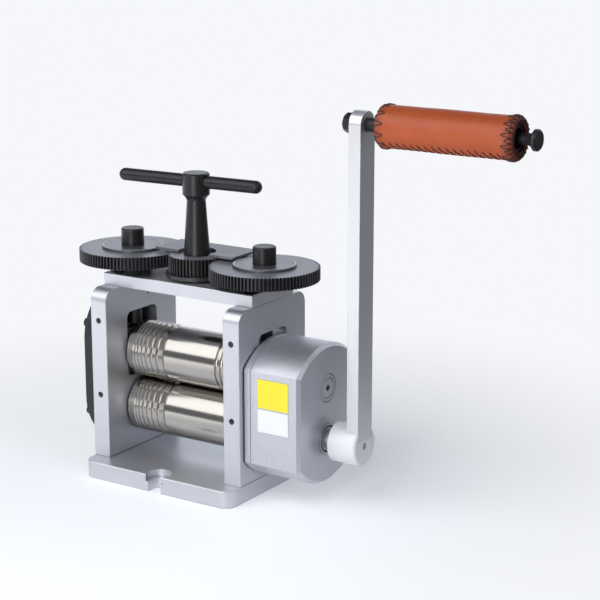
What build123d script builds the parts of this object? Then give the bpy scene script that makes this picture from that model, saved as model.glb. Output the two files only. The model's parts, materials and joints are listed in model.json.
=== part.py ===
"""Jewellers rolling mill: hand cranked, geared, with grooved rolls.

Axes: X runs along the rolls with the crank on +X, Y runs from the front (-Y)
to the rear, and Z is up. The origin is the middle of the underside of the
base plate. All lengths are millimetres and all angles are degrees.
"""
from build123d import *
from math import acos, cos, pi, radians, sin, sqrt, tan
import os

# ---- rolls -----------------------------------------------------------------
roll_diameter = 45.0
roll_face_length = 110.0
roll_side_gap = 0.5
roll_gap = 0.4
roll_axis_z = 49.0
roll_end_chamfer = 1.2
upper_journal_inset = 0.5
journal_diameter = 22.0
gear_seat_diameter = 20.0
vee_group_start = 48.2
vee_pitches = (2.8, 3.1, 3.7, 4.4, 5.1, 5.8, 6.9)
vee_land = 0.8
vee_depth_share = 0.34
wire_groove_start = 32.6
wire_groove_pitch = 4.6
wire_groove_count = 4
wire_groove_radius = 1.5

# ---- frame -----------------------------------------------------------------
plate_thickness = 15.0
plate_depth = 90.0
plate_height = 136.0
plate_corner_radius = 10.0
plate_edge_chamfer = 0.4
base_thickness = 13.5
base_depth = 120.0
base_corner_radius = 10.0
base_edge_chamfer = 0.5
slot_width = 12.0
slot_inset = 6.4
slot_counterbore_diameter = 20.6
slot_counterbore_depth = 5.6
top_plate_depth = 55.0
top_plate_thickness = 9.5
window_width = 38.0
window_bottom_z = 74.0
window_top_z = 126.5
window_corner_radius = 5.0
notch_width = 23.0
notch_height = 5.2
notch_corner_radius = 2.5
edge_hole_diameter = 4.8
edge_hole_depth = 14.0
edge_hole_low_z = 64.5
edge_hole_high_z = 124.5
oil_hole_diameter = 2.4
oil_hole_depth = 3.0
oil_hole_y = 8.3
oil_hole_below_top = 12.0

# ---- screws that hold the frame --------------------------------------------
thread_clearance = 0.05
plain_hole_clearance = 0.2
tapping_extra_depth = 2.0
base_screw_diameter = 8.0
base_screw_head_diameter = 13.0
base_screw_head_height = 8.0
base_screw_counterbore = 14.5
base_screw_recess = 0.6
base_screw_y = 20.0
base_screw_grip = 15.0
top_screw_diameter = 6.0
top_screw_head_diameter = 10.0
top_screw_head_height = 6.0
top_screw_counterbore = 11.0
top_screw_recess = 0.4
top_screw_y = 19.5
top_screw_grip = 11.0
hex_socket_share = 0.92
hex_socket_head_share = 0.6
hex_socket_depth = 3.0

# ---- bearings --------------------------------------------------------------
bush_outer_diameter = 28.0
running_clearance = 0.03
press_clearance = 0.01
block_height = 36.0
block_slide_clearance = 0.1
block_side_clearance = 0.2
block_corner_chamfer = 2.2
spring_y = 11.0
spring_coil_diameter = 5.6
spring_wire = 0.9
spring_wire_sides = 12
spring_turns = 4.0
spring_pocket_diameter = 6.6
spring_end_gap = 0.3
spring_pocket_depth = 5.0

# ---- roll adjusting gears --------------------------------------------------
adjust_module = 0.9
adjust_teeth = 92
centre_teeth = 48
adjust_gear_bottom_z = 165.5
adjust_gear_thickness = 10.0
centre_gear_bottom_z = 163.5
centre_gear_thickness = 13.5
centre_flange_radius = 24.4
centre_flange_thickness = 2.9
dial_radius = 24.3
dial_thickness = 2.1
dial_edge_chamfer = 0.5
dial_bore_clearance = 0.15
adjust_thread_diameter = 12.0
screw_passage_clearance = 0.5
adjust_post_diameter = 18.0
adjust_post_top_z = 191.0
adjust_post_gap = 1.0
adjust_post_chamfer = 0.8
key_width = 4.0
key_height = 2.0
key_clearance = 0.1
keyway_top_z = 181.5
spacer_outer_diameter = 30.0
spacer_play = 0.3
spacer_bore_clearance = 0.5
screw_tip_gap = 0.3
screw_tip_radius = 3.5
screw_tip_height = 1.5

# ---- pointer plate over the gears ------------------------------------------
pointer_top_z = 179.5
pointer_thickness = 2.0
pointer_half_width = 37.0
pointer_front_y = -4.5
pointer_notch_radius = 15.0
pointer_leg_half_width = 27.0
pointer_leg_above_plate = 0.5
pointer_screw_x = 18.0
pointer_screw_z = 154.2
pointer_screw_diameter = 4.0
pointer_screw_head_diameter = 7.0
pointer_screw_head_height = 2.6
pointer_screw_grip = 9.0

# ---- tee handle ------------------------------------------------------------
pivot_diameter = 14.0
pivot_bush_diameter = 20.0
pivot_flange_diameter = 25.0
pivot_flange_thickness = 1.3
cone_base_radius = 10.3
cone_top_radius = 7.35
cone_top_z = 219.7
flare_mid_radius = 8.5
head_radius = 10.6
head_bottom_z = 224.2
head_top_z = 241.0
head_edge_chamfer = 1.0
tee_bar_z = 234.2
tee_bar_diameter = 10.0
tee_bar_half_length = 64.0
tee_bar_offset = -6.0
tee_bar_yaw = 4.0
slide_clearance = 0.05
retainer_diameter = 24.0
retainer_thickness = 2.5
retainer_screw_diameter = 6.0
retainer_screw_head_diameter = 10.5
retainer_screw_head_height = 3.3
retainer_screw_grip = 12.0
axial_play = 0.3

# ---- left cover and roll coupling gears ------------------------------------
cover_half_width = 40.0
cover_straight_half = 24.0
cover_depth = 12.5
cover_wall = 2.5
cover_edge_fillet = 1.5
cover_screw_y = 33.0
cover_screw_dz = 36.0
cover_boss_radius = 4.2
cover_screw_diameter = 4.0
cover_screw_head_diameter = 7.0
cover_screw_head_height = 2.4
cover_screw_grip = 8.0
coupling_module = 3.25
coupling_teeth = 14
coupling_pressure_angle = 25.0
coupling_addendum = 3.4
coupling_dedendum = 3.85
coupling_backlash = 0.6
coupling_thickness = 8.0
coupling_inset = 1.2

# ---- gearbox ---------------------------------------------------------------
gear_module = 1.25
pinion_teeth = 21
wheel_teeth = 43
gear_backlash = 0.16
gear_pressure_angle = 20.0
case_radius = 54.0
case_flat_half_width = 40.0
case_wall = 5.0
gasket_thickness = 1.0
gearbox_plate_thickness = 5.0
case_end_gap = 2.5
case_end_chamfer = 2.5
case_seam_fillet = 0.8
case_boss_radius = 5.5
case_screw_y = 30.0
case_screw_dz = 38.0
case_screw_diameter = 5.0
case_screw_head_diameter = 8.5
case_screw_head_height = 5.0
case_screw_counterbore = 9.5
case_screw_recess = 0.4
case_screw_grip = 12.0
plate_bore_diameter = 26.0
first_wheel_gap = 2.0
wheel_thickness = 13.0
between_wheels = 3.0
layshaft_pin_diameter = 12.0
layshaft_pin_head_diameter = 16.0
layshaft_ring_diameter = 22.0
layshaft_ring_depth = 8.0
layshaft_boss_radius = 13.5
layshaft_pin_inset = 0.5
layshaft_relief = 0.45
layshaft_relief_depth = 1.6
layshaft_end_chamfer = 0.25
layshaft_socket_diameter = 5.0
layshaft_socket_depth = 3.5
layshaft_bush_diameter = 16.0
crank_bearing_diameter = 24.0
crank_bearing_proud = 0.6
bearing_recess_depth = 2.4
bearing_rim = 1.5
bearing_inner_wall = 2.0
bearing_inner_inset = 0.2
crank_boss_radius = 15.0
crank_boss_depth = 5.0
crank_shaft_diameter = 14.0
crank_pilot_diameter = 10.0
pilot_bush_diameter = 14.0
pilot_depth = 12.0
pilot_bush_end_gap = 0.2
pilot_end_gap = 1.0
shoulder_gap = 0.5
wheel_seat_overhang = 1.0
journal_step_inset = 1.0

# ---- blank stickers on the gearbox -----------------------------------------
sticker_thickness = 0.3
sticker_x = 97.0
sticker_width = 27.0
yellow_sticker_height = 22.0
yellow_sticker_z = 89.0
white_sticker_height = 17.5
white_sticker_z = 68.0

# ---- crank and grip --------------------------------------------------------
crank_radius = 241.0
hub_diameter = 30.6
hub_length = 23.7
hub_from_case = 8.9
hub_chamfer = 1.2
hub_centre_hole = 6.0
hub_shaft_depth = 12.5
hub_bore_extra_depth = 0.2
arm_width = 20.0
arm_thickness = 10.0
arm_foot_above_axis = 4.5
arm_edge_chamfer = 0.4
hub_screw_diameter = 6.0
hub_screw_length = 7.5
spindle_diameter = 8.0
collar_diameter = 10.2
grip_from_hub = 12.4
grip_length = 107.5
spindle_beyond_grip = 14.0
flare_radius = 7.6
flare_length = 9.0
flare_rim = 3.2
flare_neck_length = 3.0
flare_neck_rise = 0.5
flare_shoulder_length = 0.8
flare_shoulder_drop = 1.2
flare_end_chamfer = 1.0
spindle_end_chamfer = 0.6
collar_gap = 0.3
nut_across_flats = 13.0
nut_thickness = 8.0
nut_round_height = 5.6
nut_end_drop = 0.5
grip_radius = 15.5
leather_thickness = 2.5
grip_core_end_inset = 2.0
grip_socket_diameter = 14.5
grip_socket_depth = 9.0
grip_running_clearance = 0.06
leather_lip_radius = 9.5
leather_edge = 1.6
stitch_thread = 0.9
stitch_lift = 0.15
end_stitch_pairs = 12
end_stitch_inset = 3.6
end_stitch_length = 4.8
end_stitch_spacing = 2.5
seam_stitch_count = 17
seam_angle = -52.0
seam_stitch_pitch = 5.6
seam_stitch_slant = 4.6
seam_stitch_spread = 18.0

# ---- positions that follow from the sizes above ------------------------------
inner_x = roll_face_length / 2 + roll_side_gap
outer_x = inner_x + plate_thickness
plate_mid_x = inner_x + plate_thickness / 2
plate_top_z = base_thickness + plate_height
top_face_z = plate_top_z + top_plate_thickness
upper_axis_z = roll_axis_z + roll_diameter + roll_gap
gasket_outer_x = outer_x + gasket_thickness
case_start_x = gasket_outer_x + gearbox_plate_thickness
gear_centres = gear_module * (pinion_teeth + wheel_teeth) / 2
layshaft_z = roll_axis_z + gear_centres
case_mid_z = (roll_axis_z + layshaft_z) / 2
adjust_centres = adjust_module * (adjust_teeth + centre_teeth) / 2
drive_wheel_x = case_start_x + first_wheel_gap
crank_pinion_x = drive_wheel_x + wheel_thickness + between_wheels
case_end_x = crank_pinion_x + wheel_thickness + case_end_gap + crank_boss_depth + case_wall
hub_start_x = case_end_x + hub_from_case
hub_end_x = hub_start_x + hub_length
grip_start_x = hub_end_x + grip_from_hub
grip_end_x = grip_start_x + grip_length
spindle_end_x = grip_end_x + spindle_beyond_grip
handle_axis_z = roll_axis_z + crank_radius
block_top_z = upper_axis_z + block_height / 2
block_bottom_z = upper_axis_z - block_height / 2
cover_mid_z = base_thickness + plate_height / 2
adjust_gear_top_z = adjust_gear_bottom_z + adjust_gear_thickness
centre_gear_top_z = centre_gear_bottom_z + centre_gear_thickness
post_bottom_z = top_face_z + adjust_post_gap
journal_end_x = drive_wheel_x + wheel_thickness + wheel_seat_overhang

BASE = (Align.CENTER, Align.CENTER, Align.MIN)


# ---- plain building shapes --------------------------------------------------
def block(x0, x1, y0, y1, z0, z1):
    """A box between two corners."""
    middle = Pos((x0 + x1) / 2, (y0 + y1) / 2, (z0 + z1) / 2)
    return middle * Box(x1 - x0, y1 - y0, z1 - z0)


def rod_z(radius, z0, z1, x=0.0, y=0.0):
    """An upright cylinder."""
    return Pos(x, y, z0) * Cylinder(radius, z1 - z0, align=BASE)


def rod_x(radius, x0, x1, y=0.0, z=0.0):
    """A cylinder lying along X."""
    return Pos(x0, y, z) * Rot(0, 90, 0) * Cylinder(radius, x1 - x0, align=BASE)


def rod_y(radius, y0, y1, x=0.0, z=0.0):
    """A cylinder lying along Y."""
    return Pos(x, y0, z) * Rot(-90, 0, 0) * Cylinder(radius, y1 - y0, align=BASE)


def turned_x(points, z=0.0):
    """A solid turned about a line along X, from (x, radius) points."""
    outline = Polyline(*[(x, 0, r) for x, r in points], close=True)
    return Pos(0, 0, z) * revolve(Face(Wire(outline.edges())), Axis.X, 360)


def turned_z(points, x=0.0, y=0.0):
    """A solid turned about an upright line, from (radius, z) points."""
    outline = Polyline(*[(r, 0, z) for r, z in points], close=True)
    return Pos(x, y, 0) * revolve(Face(Wire(outline.edges())), Axis.Z, 360)


def prism_x(outline, x0, x1):
    """A flat outline drawn as (y, z) and stood between two X positions."""
    plane = Plane(origin=(x0, 0, 0), x_dir=(0, 1, 0), z_dir=(1, 0, 0))
    return extrude(plane * outline, amount=x1 - x0)


def socket_screw(diameter, length, head_diameter, head_height):
    """A socket cap screw, head upwards on z = 0, shank downwards."""
    head = Cylinder(head_diameter / 2, head_height, align=BASE)
    socket_radius = diameter * hex_socket_share / 2
    socket = extrude(RegularPolygon(socket_radius, 6), amount=hex_socket_depth)
    depth = min(hex_socket_depth, head_height * hex_socket_head_share)
    head -= Pos(0, 0, head_height - depth) * socket
    shank = Pos(0, 0, -length) * Cylinder(diameter / 2, length, align=BASE)
    return head + shank


def radius_point(radius, angle):
    """A point on a circle about the origin, from an angle in radians."""
    return (radius * cos(angle), radius * sin(angle))


def gear_outline(module, teeth, addendum, dedendum, backlash, pressure_angle, tooth_at):
    """The closed outline of a spur gear with a tooth centred at tooth_at degrees."""
    pitch_radius = module * teeth / 2
    base_radius = pitch_radius * cos(radians(pressure_angle))
    tip_radius = pitch_radius + addendum
    root_radius = pitch_radius - dedendum
    flank_start = max(root_radius, base_radius)
    middle_radius = (flank_start + tip_radius) / 2
    half_at_pitch = pi / (2 * teeth) - backlash / (4 * pitch_radius)
    pitch_roll = tan(radians(pressure_angle)) - radians(pressure_angle)

    def half_angle(radius):
        """Half of the tooth's width at a radius, as an angle."""
        slope = acos(min(1.0, base_radius / radius))
        return half_at_pitch + pitch_roll - (tan(slope) - slope)

    start_half = half_angle(flank_start)
    middle_half = half_angle(middle_radius)
    tip_half = half_angle(tip_radius)
    step = 2 * pi / teeth
    edges = []
    for index in range(teeth):
        mid = radians(tooth_at) + index * step
        low_left = radius_point(root_radius, mid - start_half)
        left = radius_point(flank_start, mid - start_half)
        left_mid = radius_point(middle_radius, mid - middle_half)
        left_tip = radius_point(tip_radius, mid - tip_half)
        tip = radius_point(tip_radius, mid)
        right_tip = radius_point(tip_radius, mid + tip_half)
        right_mid = radius_point(middle_radius, mid + middle_half)
        right = radius_point(flank_start, mid + start_half)
        low_right = radius_point(root_radius, mid + start_half)
        root = radius_point(root_radius, mid + step / 2)
        next_left = radius_point(root_radius, mid + step - start_half)
        if flank_start - root_radius > 1e-6:
            edges.append(Edge.make_line(low_left, left))
        edges.append(Edge.make_three_point_arc(left, left_mid, left_tip))
        edges.append(Edge.make_three_point_arc(left_tip, tip, right_tip))
        edges.append(Edge.make_three_point_arc(right_tip, right_mid, right))
        if flank_start - root_radius > 1e-6:
            edges.append(Edge.make_line(right, low_right))
        edges.append(Edge.make_three_point_arc(low_right, root, next_left))
    return Face(Wire(edges))


def spur_gear(module, teeth, thickness, backlash, tooth_at):
    """A gear of ordinary proportions, standing on z = 0."""
    outline = gear_outline(
        module, teeth, module, 1.25 * module, backlash, gear_pressure_angle, tooth_at
    )
    return extrude(outline, amount=thickness)


def gear_on_x(gear, x0, z):
    """Stands an upright gear on a line along X; its 180 degree side turns upward."""
    return Pos(x0, 0, z) * Rot(0, 90, 0) * gear


# ---- frame ------------------------------------------------------------------
def base_plate():
    """The foot of the mill, with an open bolt slot at the front and the rear."""
    body = extrude(
        RectangleRounded(2 * outer_x, base_depth, base_corner_radius),
        amount=base_thickness,
    )
    body = chamfer(body.faces().sort_by(Axis.Z)[-1].edges(), base_edge_chamfer)
    for side in (-1, 1):
        slot_y = side * (base_depth / 2 - slot_inset)
        far_y = side * base_depth
        body -= rod_z(slot_width / 2, 0, base_thickness, 0, slot_y)
        low_y, high_y = sorted((slot_y, far_y))
        body -= block(-slot_width / 2, slot_width / 2, low_y, high_y, 0, base_thickness)
        seat_z = base_thickness - slot_counterbore_depth
        body -= rod_z(slot_counterbore_diameter / 2, seat_z, base_thickness, 0, slot_y)
    head_room = base_screw_recess + base_screw_head_height
    for x in (-plate_mid_x, plate_mid_x):
        for y in (-base_screw_y, base_screw_y):
            body -= rod_z(base_screw_counterbore / 2, 0, head_room, x, y)
            body -= rod_z(base_screw_diameter / 2 + plain_hole_clearance, 0, base_thickness, x, y)
    return body


def plate_blank():
    """A side plate's outline as (y, z), rounded at its two upper corners."""
    half = plate_depth / 2
    r = plate_corner_radius
    slant = r * (1 - cos(radians(45)))
    top = plate_top_z
    outline = [
        Edge.make_line((-half, base_thickness), (half, base_thickness)),
        Edge.make_line((half, base_thickness), (half, top - r)),
        Edge.make_three_point_arc((half, top - r), (half - slant, top - slant), (half - r, top)),
        Edge.make_line((half - r, top), (-half + r, top)),
        Edge.make_three_point_arc((-half + r, top), (-half + slant, top - slant), (-half, top - r)),
        Edge.make_line((-half, top - r), (-half, base_thickness)),
    ]
    return Face(Wire(outline))


def side_plate(side):
    """One upright plate; side is -1 for the left plate and 1 for the crank side."""
    x0, x1 = sorted((side * inner_x, side * outer_x))
    body = prism_x(plate_blank(), x0, x1)
    rims = body.faces().sort_by(Axis.X)
    body = chamfer(rims[0].edges() + rims[-1].edges(), plate_edge_chamfer)
    window_mid_z = (window_bottom_z + window_top_z) / 2
    window = RectangleRounded(
        window_width, window_top_z - window_bottom_z, window_corner_radius
    )
    body -= prism_x(Pos(0, window_mid_z) * window, x0, x1)
    notch_low = window_top_z - window_corner_radius
    notch_high = window_top_z + notch_height
    notch = RectangleRounded(notch_width, notch_high - notch_low, notch_corner_radius)
    body -= prism_x(Pos(0, (notch_low + notch_high) / 2) * notch, x0, x1)
    body -= rod_x(bush_outer_diameter / 2, x0, x1, 0, roll_axis_z)
    x = side * plate_mid_x
    adjust_radius = adjust_thread_diameter / 2 + slide_clearance
    body -= rod_z(adjust_radius, window_top_z, plate_top_z, x, 0)
    for y in (-top_screw_y, top_screw_y):
        hole_bottom = plate_top_z - top_screw_grip - tapping_extra_depth
        body -= rod_z(top_screw_diameter / 2 + thread_clearance, hole_bottom, plate_top_z, x, y)
    for y in (-base_screw_y, base_screw_y):
        hole_top = base_thickness + base_screw_grip + tapping_extra_depth
        body -= rod_z(base_screw_diameter / 2 + thread_clearance, base_thickness, hole_top, x, y)
    for z in (edge_hole_low_z, edge_hole_high_z):
        edge = -plate_depth / 2
        body -= rod_y(edge_hole_diameter / 2, edge, edge + edge_hole_depth, x, z)
    return body


def left_side_plate():
    """The plate away from the crank, tapped for the gear cover's screws."""
    body = side_plate(-1)
    hole_radius = cover_screw_diameter / 2 + thread_clearance
    hole_end = -outer_x + cover_screw_grip + tapping_extra_depth
    for y, z in cover_screw_places():
        body -= rod_x(hole_radius, -outer_x, hole_end, y, z)
    oil_z = plate_top_z - oil_hole_below_top
    body -= rod_x(
        oil_hole_diameter / 2, -inner_x - oil_hole_depth, -inner_x, oil_hole_y, oil_z
    )
    return body


def right_side_plate():
    """The plate on the crank side, bored for the screws that hold the gearbox."""
    body = side_plate(1)
    head_room = case_screw_recess + case_screw_head_height
    for y, z in case_screw_places():
        body -= rod_x(case_screw_counterbore / 2, inner_x, inner_x + head_room, y, z)
        body -= rod_x(case_screw_diameter / 2 + plain_hole_clearance, inner_x, outer_x, y, z)
    return body


def top_plate():
    """The bridge across both side plates, bored for the screws and the pivot."""
    half = top_plate_depth / 2
    body = block(-outer_x, outer_x, -half, half, plate_top_z, top_face_z)
    body = chamfer(body.edges().filter_by(Axis.X).group_by(Axis.Z)[-1], base_edge_chamfer)
    body -= rod_z(pivot_bush_diameter / 2, plate_top_z, top_face_z)
    seat_z = top_face_z - top_screw_head_height - top_screw_recess
    for x in (-plate_mid_x, plate_mid_x):
        body -= rod_z(adjust_thread_diameter / 2 + screw_passage_clearance, plate_top_z, top_face_z, x, 0)
        for y in (-top_screw_y, top_screw_y):
            body -= rod_z(top_screw_diameter / 2 + plain_hole_clearance, plate_top_z, top_face_z, x, y)
            body -= rod_z(top_screw_counterbore / 2, seat_z, top_face_z, x, y)
    hole_radius = pointer_screw_diameter / 2 + thread_clearance
    for x in (-pointer_screw_x, pointer_screw_x):
        body -= rod_y(hole_radius, half - pointer_screw_grip - tapping_extra_depth, half, x, pointer_screw_z)
    return body


def base_screws():
    """Four screws that come up through the base plate into the side plates."""
    shank = base_thickness - base_screw_recess - base_screw_head_height + base_screw_grip
    screw = socket_screw(
        base_screw_diameter, shank, base_screw_head_diameter, base_screw_head_height
    )
    seat_z = base_screw_recess + base_screw_head_height
    places = [(x, y) for x in (-plate_mid_x, plate_mid_x) for y in (-base_screw_y, base_screw_y)]
    return Compound([Pos(x, y, seat_z) * Rot(180, 0, 0) * screw for x, y in places])


def top_plate_screws():
    """Four screws that go down through the top plate into the side plates."""
    seat_z = top_face_z - top_screw_recess - top_screw_head_height
    shank = seat_z - plate_top_z + top_screw_grip
    screw = socket_screw(
        top_screw_diameter, shank, top_screw_head_diameter, top_screw_head_height
    )
    places = [(x, y) for x in (-plate_mid_x, plate_mid_x) for y in (-top_screw_y, top_screw_y)]
    return Compound([Pos(x, y, seat_z) * screw for x, y in places])


def screw_nut(side):
    """The nut that fills the notch over a window and takes the rolling load."""
    gap = slide_clearance
    low_z = window_top_z
    high_z = window_top_z + notch_height - gap
    reach = window_corner_radius
    outline = RectangleRounded(
        notch_width - 2 * gap, high_z - low_z + reach, notch_corner_radius
    )
    outline = Pos(0, (high_z + low_z - reach) / 2) * outline
    outline -= Pos(0, low_z - reach) * Rectangle(notch_width, 2 * reach)
    x0, x1 = sorted((side * inner_x, side * outer_x))
    body = prism_x(outline, x0, x1)
    hole_radius = adjust_thread_diameter / 2 + slide_clearance
    return body - rod_z(hole_radius, low_z, high_z, side * plate_mid_x, 0)


def lower_bush(side):
    """The bronze bush that carries the lower roll in a side plate."""
    x0, x1 = sorted((side * inner_x, side * outer_x))
    body = rod_x(bush_outer_diameter / 2 - press_clearance, x0, x1, 0, roll_axis_z)
    return body - rod_x(journal_diameter / 2 + running_clearance, x0, x1, 0, roll_axis_z)


def pivot_bush():
    """The bush that carries the tee handle in the top plate."""
    body = rod_z(pivot_bush_diameter / 2 - press_clearance, plate_top_z, top_face_z)
    flange_top = top_face_z + pivot_flange_thickness
    body += rod_z(pivot_flange_diameter / 2, top_face_z, flange_top)
    return body - rod_z(pivot_diameter / 2 + running_clearance, plate_top_z, flange_top)


def gear_spacers():
    """Two rings on the top plate that hold the adjusting gears up."""
    rings = []
    for x in (-adjust_centres, adjust_centres):
        top_z = adjust_gear_bottom_z - spacer_play
        ring = rod_z(spacer_outer_diameter / 2, top_face_z, top_z, x, 0)
        ring -= rod_z(adjust_post_diameter / 2 + spacer_bore_clearance, top_face_z, top_z, x, 0)
        rings.append(ring)
    return Compound(rings)


def pointer_plate():
    """A bent sheet over the gears that holds them down and points at the dials."""
    rear_y = top_plate_depth / 2 + pointer_thickness
    low_z = pointer_top_z - pointer_thickness
    sheet = block(
        -pointer_half_width, pointer_half_width, pointer_front_y, rear_y, low_z, pointer_top_z
    )
    reach = pointer_notch_radius
    notch = rod_z(reach, low_z, pointer_top_z)
    corner = reach * sqrt(2)
    wedge = Polyline((0, corner), (2 * corner, -corner), (-2 * corner, -corner), close=True)
    wedge_face = Face(Wire(wedge.edges()))
    v_cut = Pos(0, 0, low_z) * extrude(wedge_face, amount=pointer_thickness)
    rounding = block(-reach, reach, reach * sin(radians(45)), corner, low_z, pointer_top_z)
    sheet -= (v_cut - rounding) + notch
    leg = block(
        -pointer_leg_half_width, pointer_leg_half_width,
        rear_y - pointer_thickness, rear_y, plate_top_z + pointer_leg_above_plate, pointer_top_z,
    )
    body = sheet + leg
    hole_radius = pointer_screw_diameter / 2 + plain_hole_clearance
    for x in (-pointer_screw_x, pointer_screw_x):
        body -= rod_y(hole_radius, rear_y - pointer_thickness, rear_y, x, pointer_screw_z)
    return body


def pointer_screws():
    """Two screws that hold the pointer plate to the rear of the top plate."""
    seat_y = top_plate_depth / 2 + pointer_thickness
    screw = socket_screw(
        pointer_screw_diameter, pointer_screw_grip + pointer_thickness,
        pointer_screw_head_diameter, pointer_screw_head_height,
    )
    turned = Rot(-90, 0, 0) * screw
    places = (-pointer_screw_x, pointer_screw_x)
    return Compound([Pos(x, seat_y, pointer_screw_z) * turned for x in places])


# ---- left cover -------------------------------------------------------------
def cover_screw_places():
    """Where the left cover's four screws go, as (y, z)."""
    sides = (-cover_screw_y, cover_screw_y)
    return [(y, cover_mid_z + dz) for y in sides for dz in (-cover_screw_dz, cover_screw_dz)]


def rounded_slab(half_width, straight_half):
    """A shape with parallel sides and half round ends, as (y, z)."""
    slab = Rectangle(2 * half_width, 2 * straight_half)
    slab += Pos(0, straight_half) * Circle(half_width)
    slab += Pos(0, -straight_half) * Circle(half_width)
    return Pos(0, cover_mid_z) * slab


def left_gear_cover():
    """The shallow dished cover over the two gears that couple the rolls."""
    outer_face = -outer_x - cover_depth
    body = prism_x(rounded_slab(cover_half_width, cover_straight_half), outer_face, -outer_x)
    body = fillet(body.faces().sort_by(Axis.X)[0].edges(), cover_edge_fillet)
    hollow = rounded_slab(cover_half_width - cover_wall, cover_straight_half)
    body -= prism_x(hollow, outer_face + cover_wall, -outer_x)
    for y, z in cover_screw_places():
        body += rod_x(cover_boss_radius, outer_face + cover_wall, -outer_x, y, z)
        body -= rod_x(cover_screw_diameter / 2 + plain_hole_clearance, outer_face, -outer_x, y, z)
    return body


def left_cover_screws():
    """Four screws that hold the left cover to its side plate."""
    screw = socket_screw(
        cover_screw_diameter, cover_depth + cover_screw_grip,
        cover_screw_head_diameter, cover_screw_head_height,
    )
    turned = Rot(0, -90, 0) * screw
    return Compound([Pos(-outer_x - cover_depth, y, z) * turned for y, z in cover_screw_places()])


# ---- gearbox case -----------------------------------------------------------
def case_screw_places():
    """Where the four screws that hold the gearbox go, as (y, z)."""
    sides = (-case_screw_y, case_screw_y)
    return [(y, case_mid_z + dz) for y in sides for dz in (-case_screw_dz, case_screw_dz)]


def case_outline(inset):
    """The gearbox's outline as (y, z): a circle cut by a flat front and rear."""
    circle = Circle(case_radius - inset)
    width = 2 * (case_flat_half_width - inset)
    return Pos(0, case_mid_z) * (circle & Rectangle(width, 3 * case_radius))


def case_holes(x0, x1):
    """The four screw holes through one of the gearbox's flat layers."""
    radius = case_screw_diameter / 2 + plain_hole_clearance
    return Compound([rod_x(radius, x0, x1, y, z) for y, z in case_screw_places()])


def gearbox_gasket():
    """The thin gasket between the side plate and the gearbox."""
    body = prism_x(case_outline(case_end_chamfer), outer_x, gasket_outer_x)
    body -= rod_x(plate_bore_diameter / 2, outer_x, gasket_outer_x, 0, roll_axis_z)
    return body - case_holes(outer_x, gasket_outer_x)


def gearbox_back_plate():
    """The flat rear wall of the gearbox, which holds one end of the layshaft pin."""
    body = prism_x(case_outline(0), gasket_outer_x, case_start_x)
    body = fillet(body.faces().sort_by(Axis.X)[-1].edges(), case_seam_fillet)
    body -= rod_x(plate_bore_diameter / 2, gasket_outer_x, case_start_x, 0, roll_axis_z)
    pin_radius = layshaft_pin_diameter / 2 + press_clearance
    body -= rod_x(pin_radius, gasket_outer_x, case_start_x, 0, layshaft_z)
    return body - case_holes(gasket_outer_x, case_start_x)


def gearbox_cover():
    """The deep cover over the gear train, hollow and open toward the mill."""
    body = prism_x(case_outline(0), case_start_x, case_end_x)
    body = chamfer(body.faces().sort_by(Axis.X)[-1].edges(), case_end_chamfer)
    body = fillet(body.faces().sort_by(Axis.X)[0].edges(), case_seam_fillet)
    inner_end = case_end_x - case_wall
    body -= prism_x(case_outline(case_wall), case_start_x, inner_end)
    for y, z in case_screw_places():
        boss = rod_x(case_boss_radius, case_start_x, inner_end, y, z)
        body += boss & prism_x(case_outline(case_wall / 2), case_start_x, inner_end)
        hole_end = case_start_x + case_screw_grip + tapping_extra_depth
        body -= rod_x(case_screw_diameter / 2 + thread_clearance, case_start_x, hole_end, y, z)
    boss_start = inner_end - crank_boss_depth
    body += rod_x(crank_boss_radius, boss_start, inner_end, 0, roll_axis_z)
    ring_start = case_end_x - layshaft_ring_depth
    body += rod_x(layshaft_boss_radius, ring_start, inner_end, 0, layshaft_z)
    body -= rod_x(crank_bearing_diameter / 2, boss_start, case_end_x, 0, roll_axis_z)
    body -= rod_x(layshaft_ring_diameter / 2, ring_start, case_end_x, 0, layshaft_z)
    return body


def gearbox_screws():
    """Four screws that reach from inside the mill into the gearbox cover."""
    seat_x = inner_x + case_screw_recess + case_screw_head_height
    shank = case_start_x + case_screw_grip - seat_x
    screw = socket_screw(
        case_screw_diameter, shank, case_screw_head_diameter, case_screw_head_height
    )
    turned = Rot(0, -90, 0) * screw
    return Compound([Pos(seat_x, y, z) * turned for y, z in case_screw_places()])


def layshaft_pin():
    """The fixed pin that the middle gears turn on, flush with the cover."""
    ring_start = case_end_x - layshaft_ring_depth
    relief_start = case_end_x - layshaft_relief_depth
    body = rod_x(layshaft_pin_diameter / 2, gasket_outer_x + layshaft_pin_inset, ring_start, 0, layshaft_z)
    body += rod_x(layshaft_pin_head_diameter / 2, ring_start, relief_start, 0, layshaft_z)
    body += rod_x(layshaft_pin_head_diameter / 2 - layshaft_relief, relief_start, case_end_x, 0, layshaft_z)
    body = chamfer(body.faces().sort_by(Axis.X)[-1].edges(), layshaft_end_chamfer)
    socket = extrude(RegularPolygon(layshaft_socket_diameter / 2, 6), amount=layshaft_socket_depth)
    turned = Pos(case_end_x - layshaft_socket_depth, 0, layshaft_z) * Rot(0, 90, 0) * socket
    return body - turned


def layshaft_ring():
    """The ring pressed into the cover round the layshaft pin's head."""
    ring_start = case_end_x - layshaft_ring_depth
    relief_start = case_end_x - layshaft_relief_depth
    outer_radius = layshaft_ring_diameter / 2 - press_clearance
    body = rod_x(outer_radius, ring_start, relief_start, 0, layshaft_z)
    body += rod_x(outer_radius - layshaft_relief, relief_start, case_end_x, 0, layshaft_z)
    body = chamfer(body.faces().sort_by(Axis.X)[-1].edges(), layshaft_end_chamfer)
    hole_radius = layshaft_pin_head_diameter / 2 + press_clearance
    return body - rod_x(hole_radius, ring_start, case_end_x, 0, layshaft_z)


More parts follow.
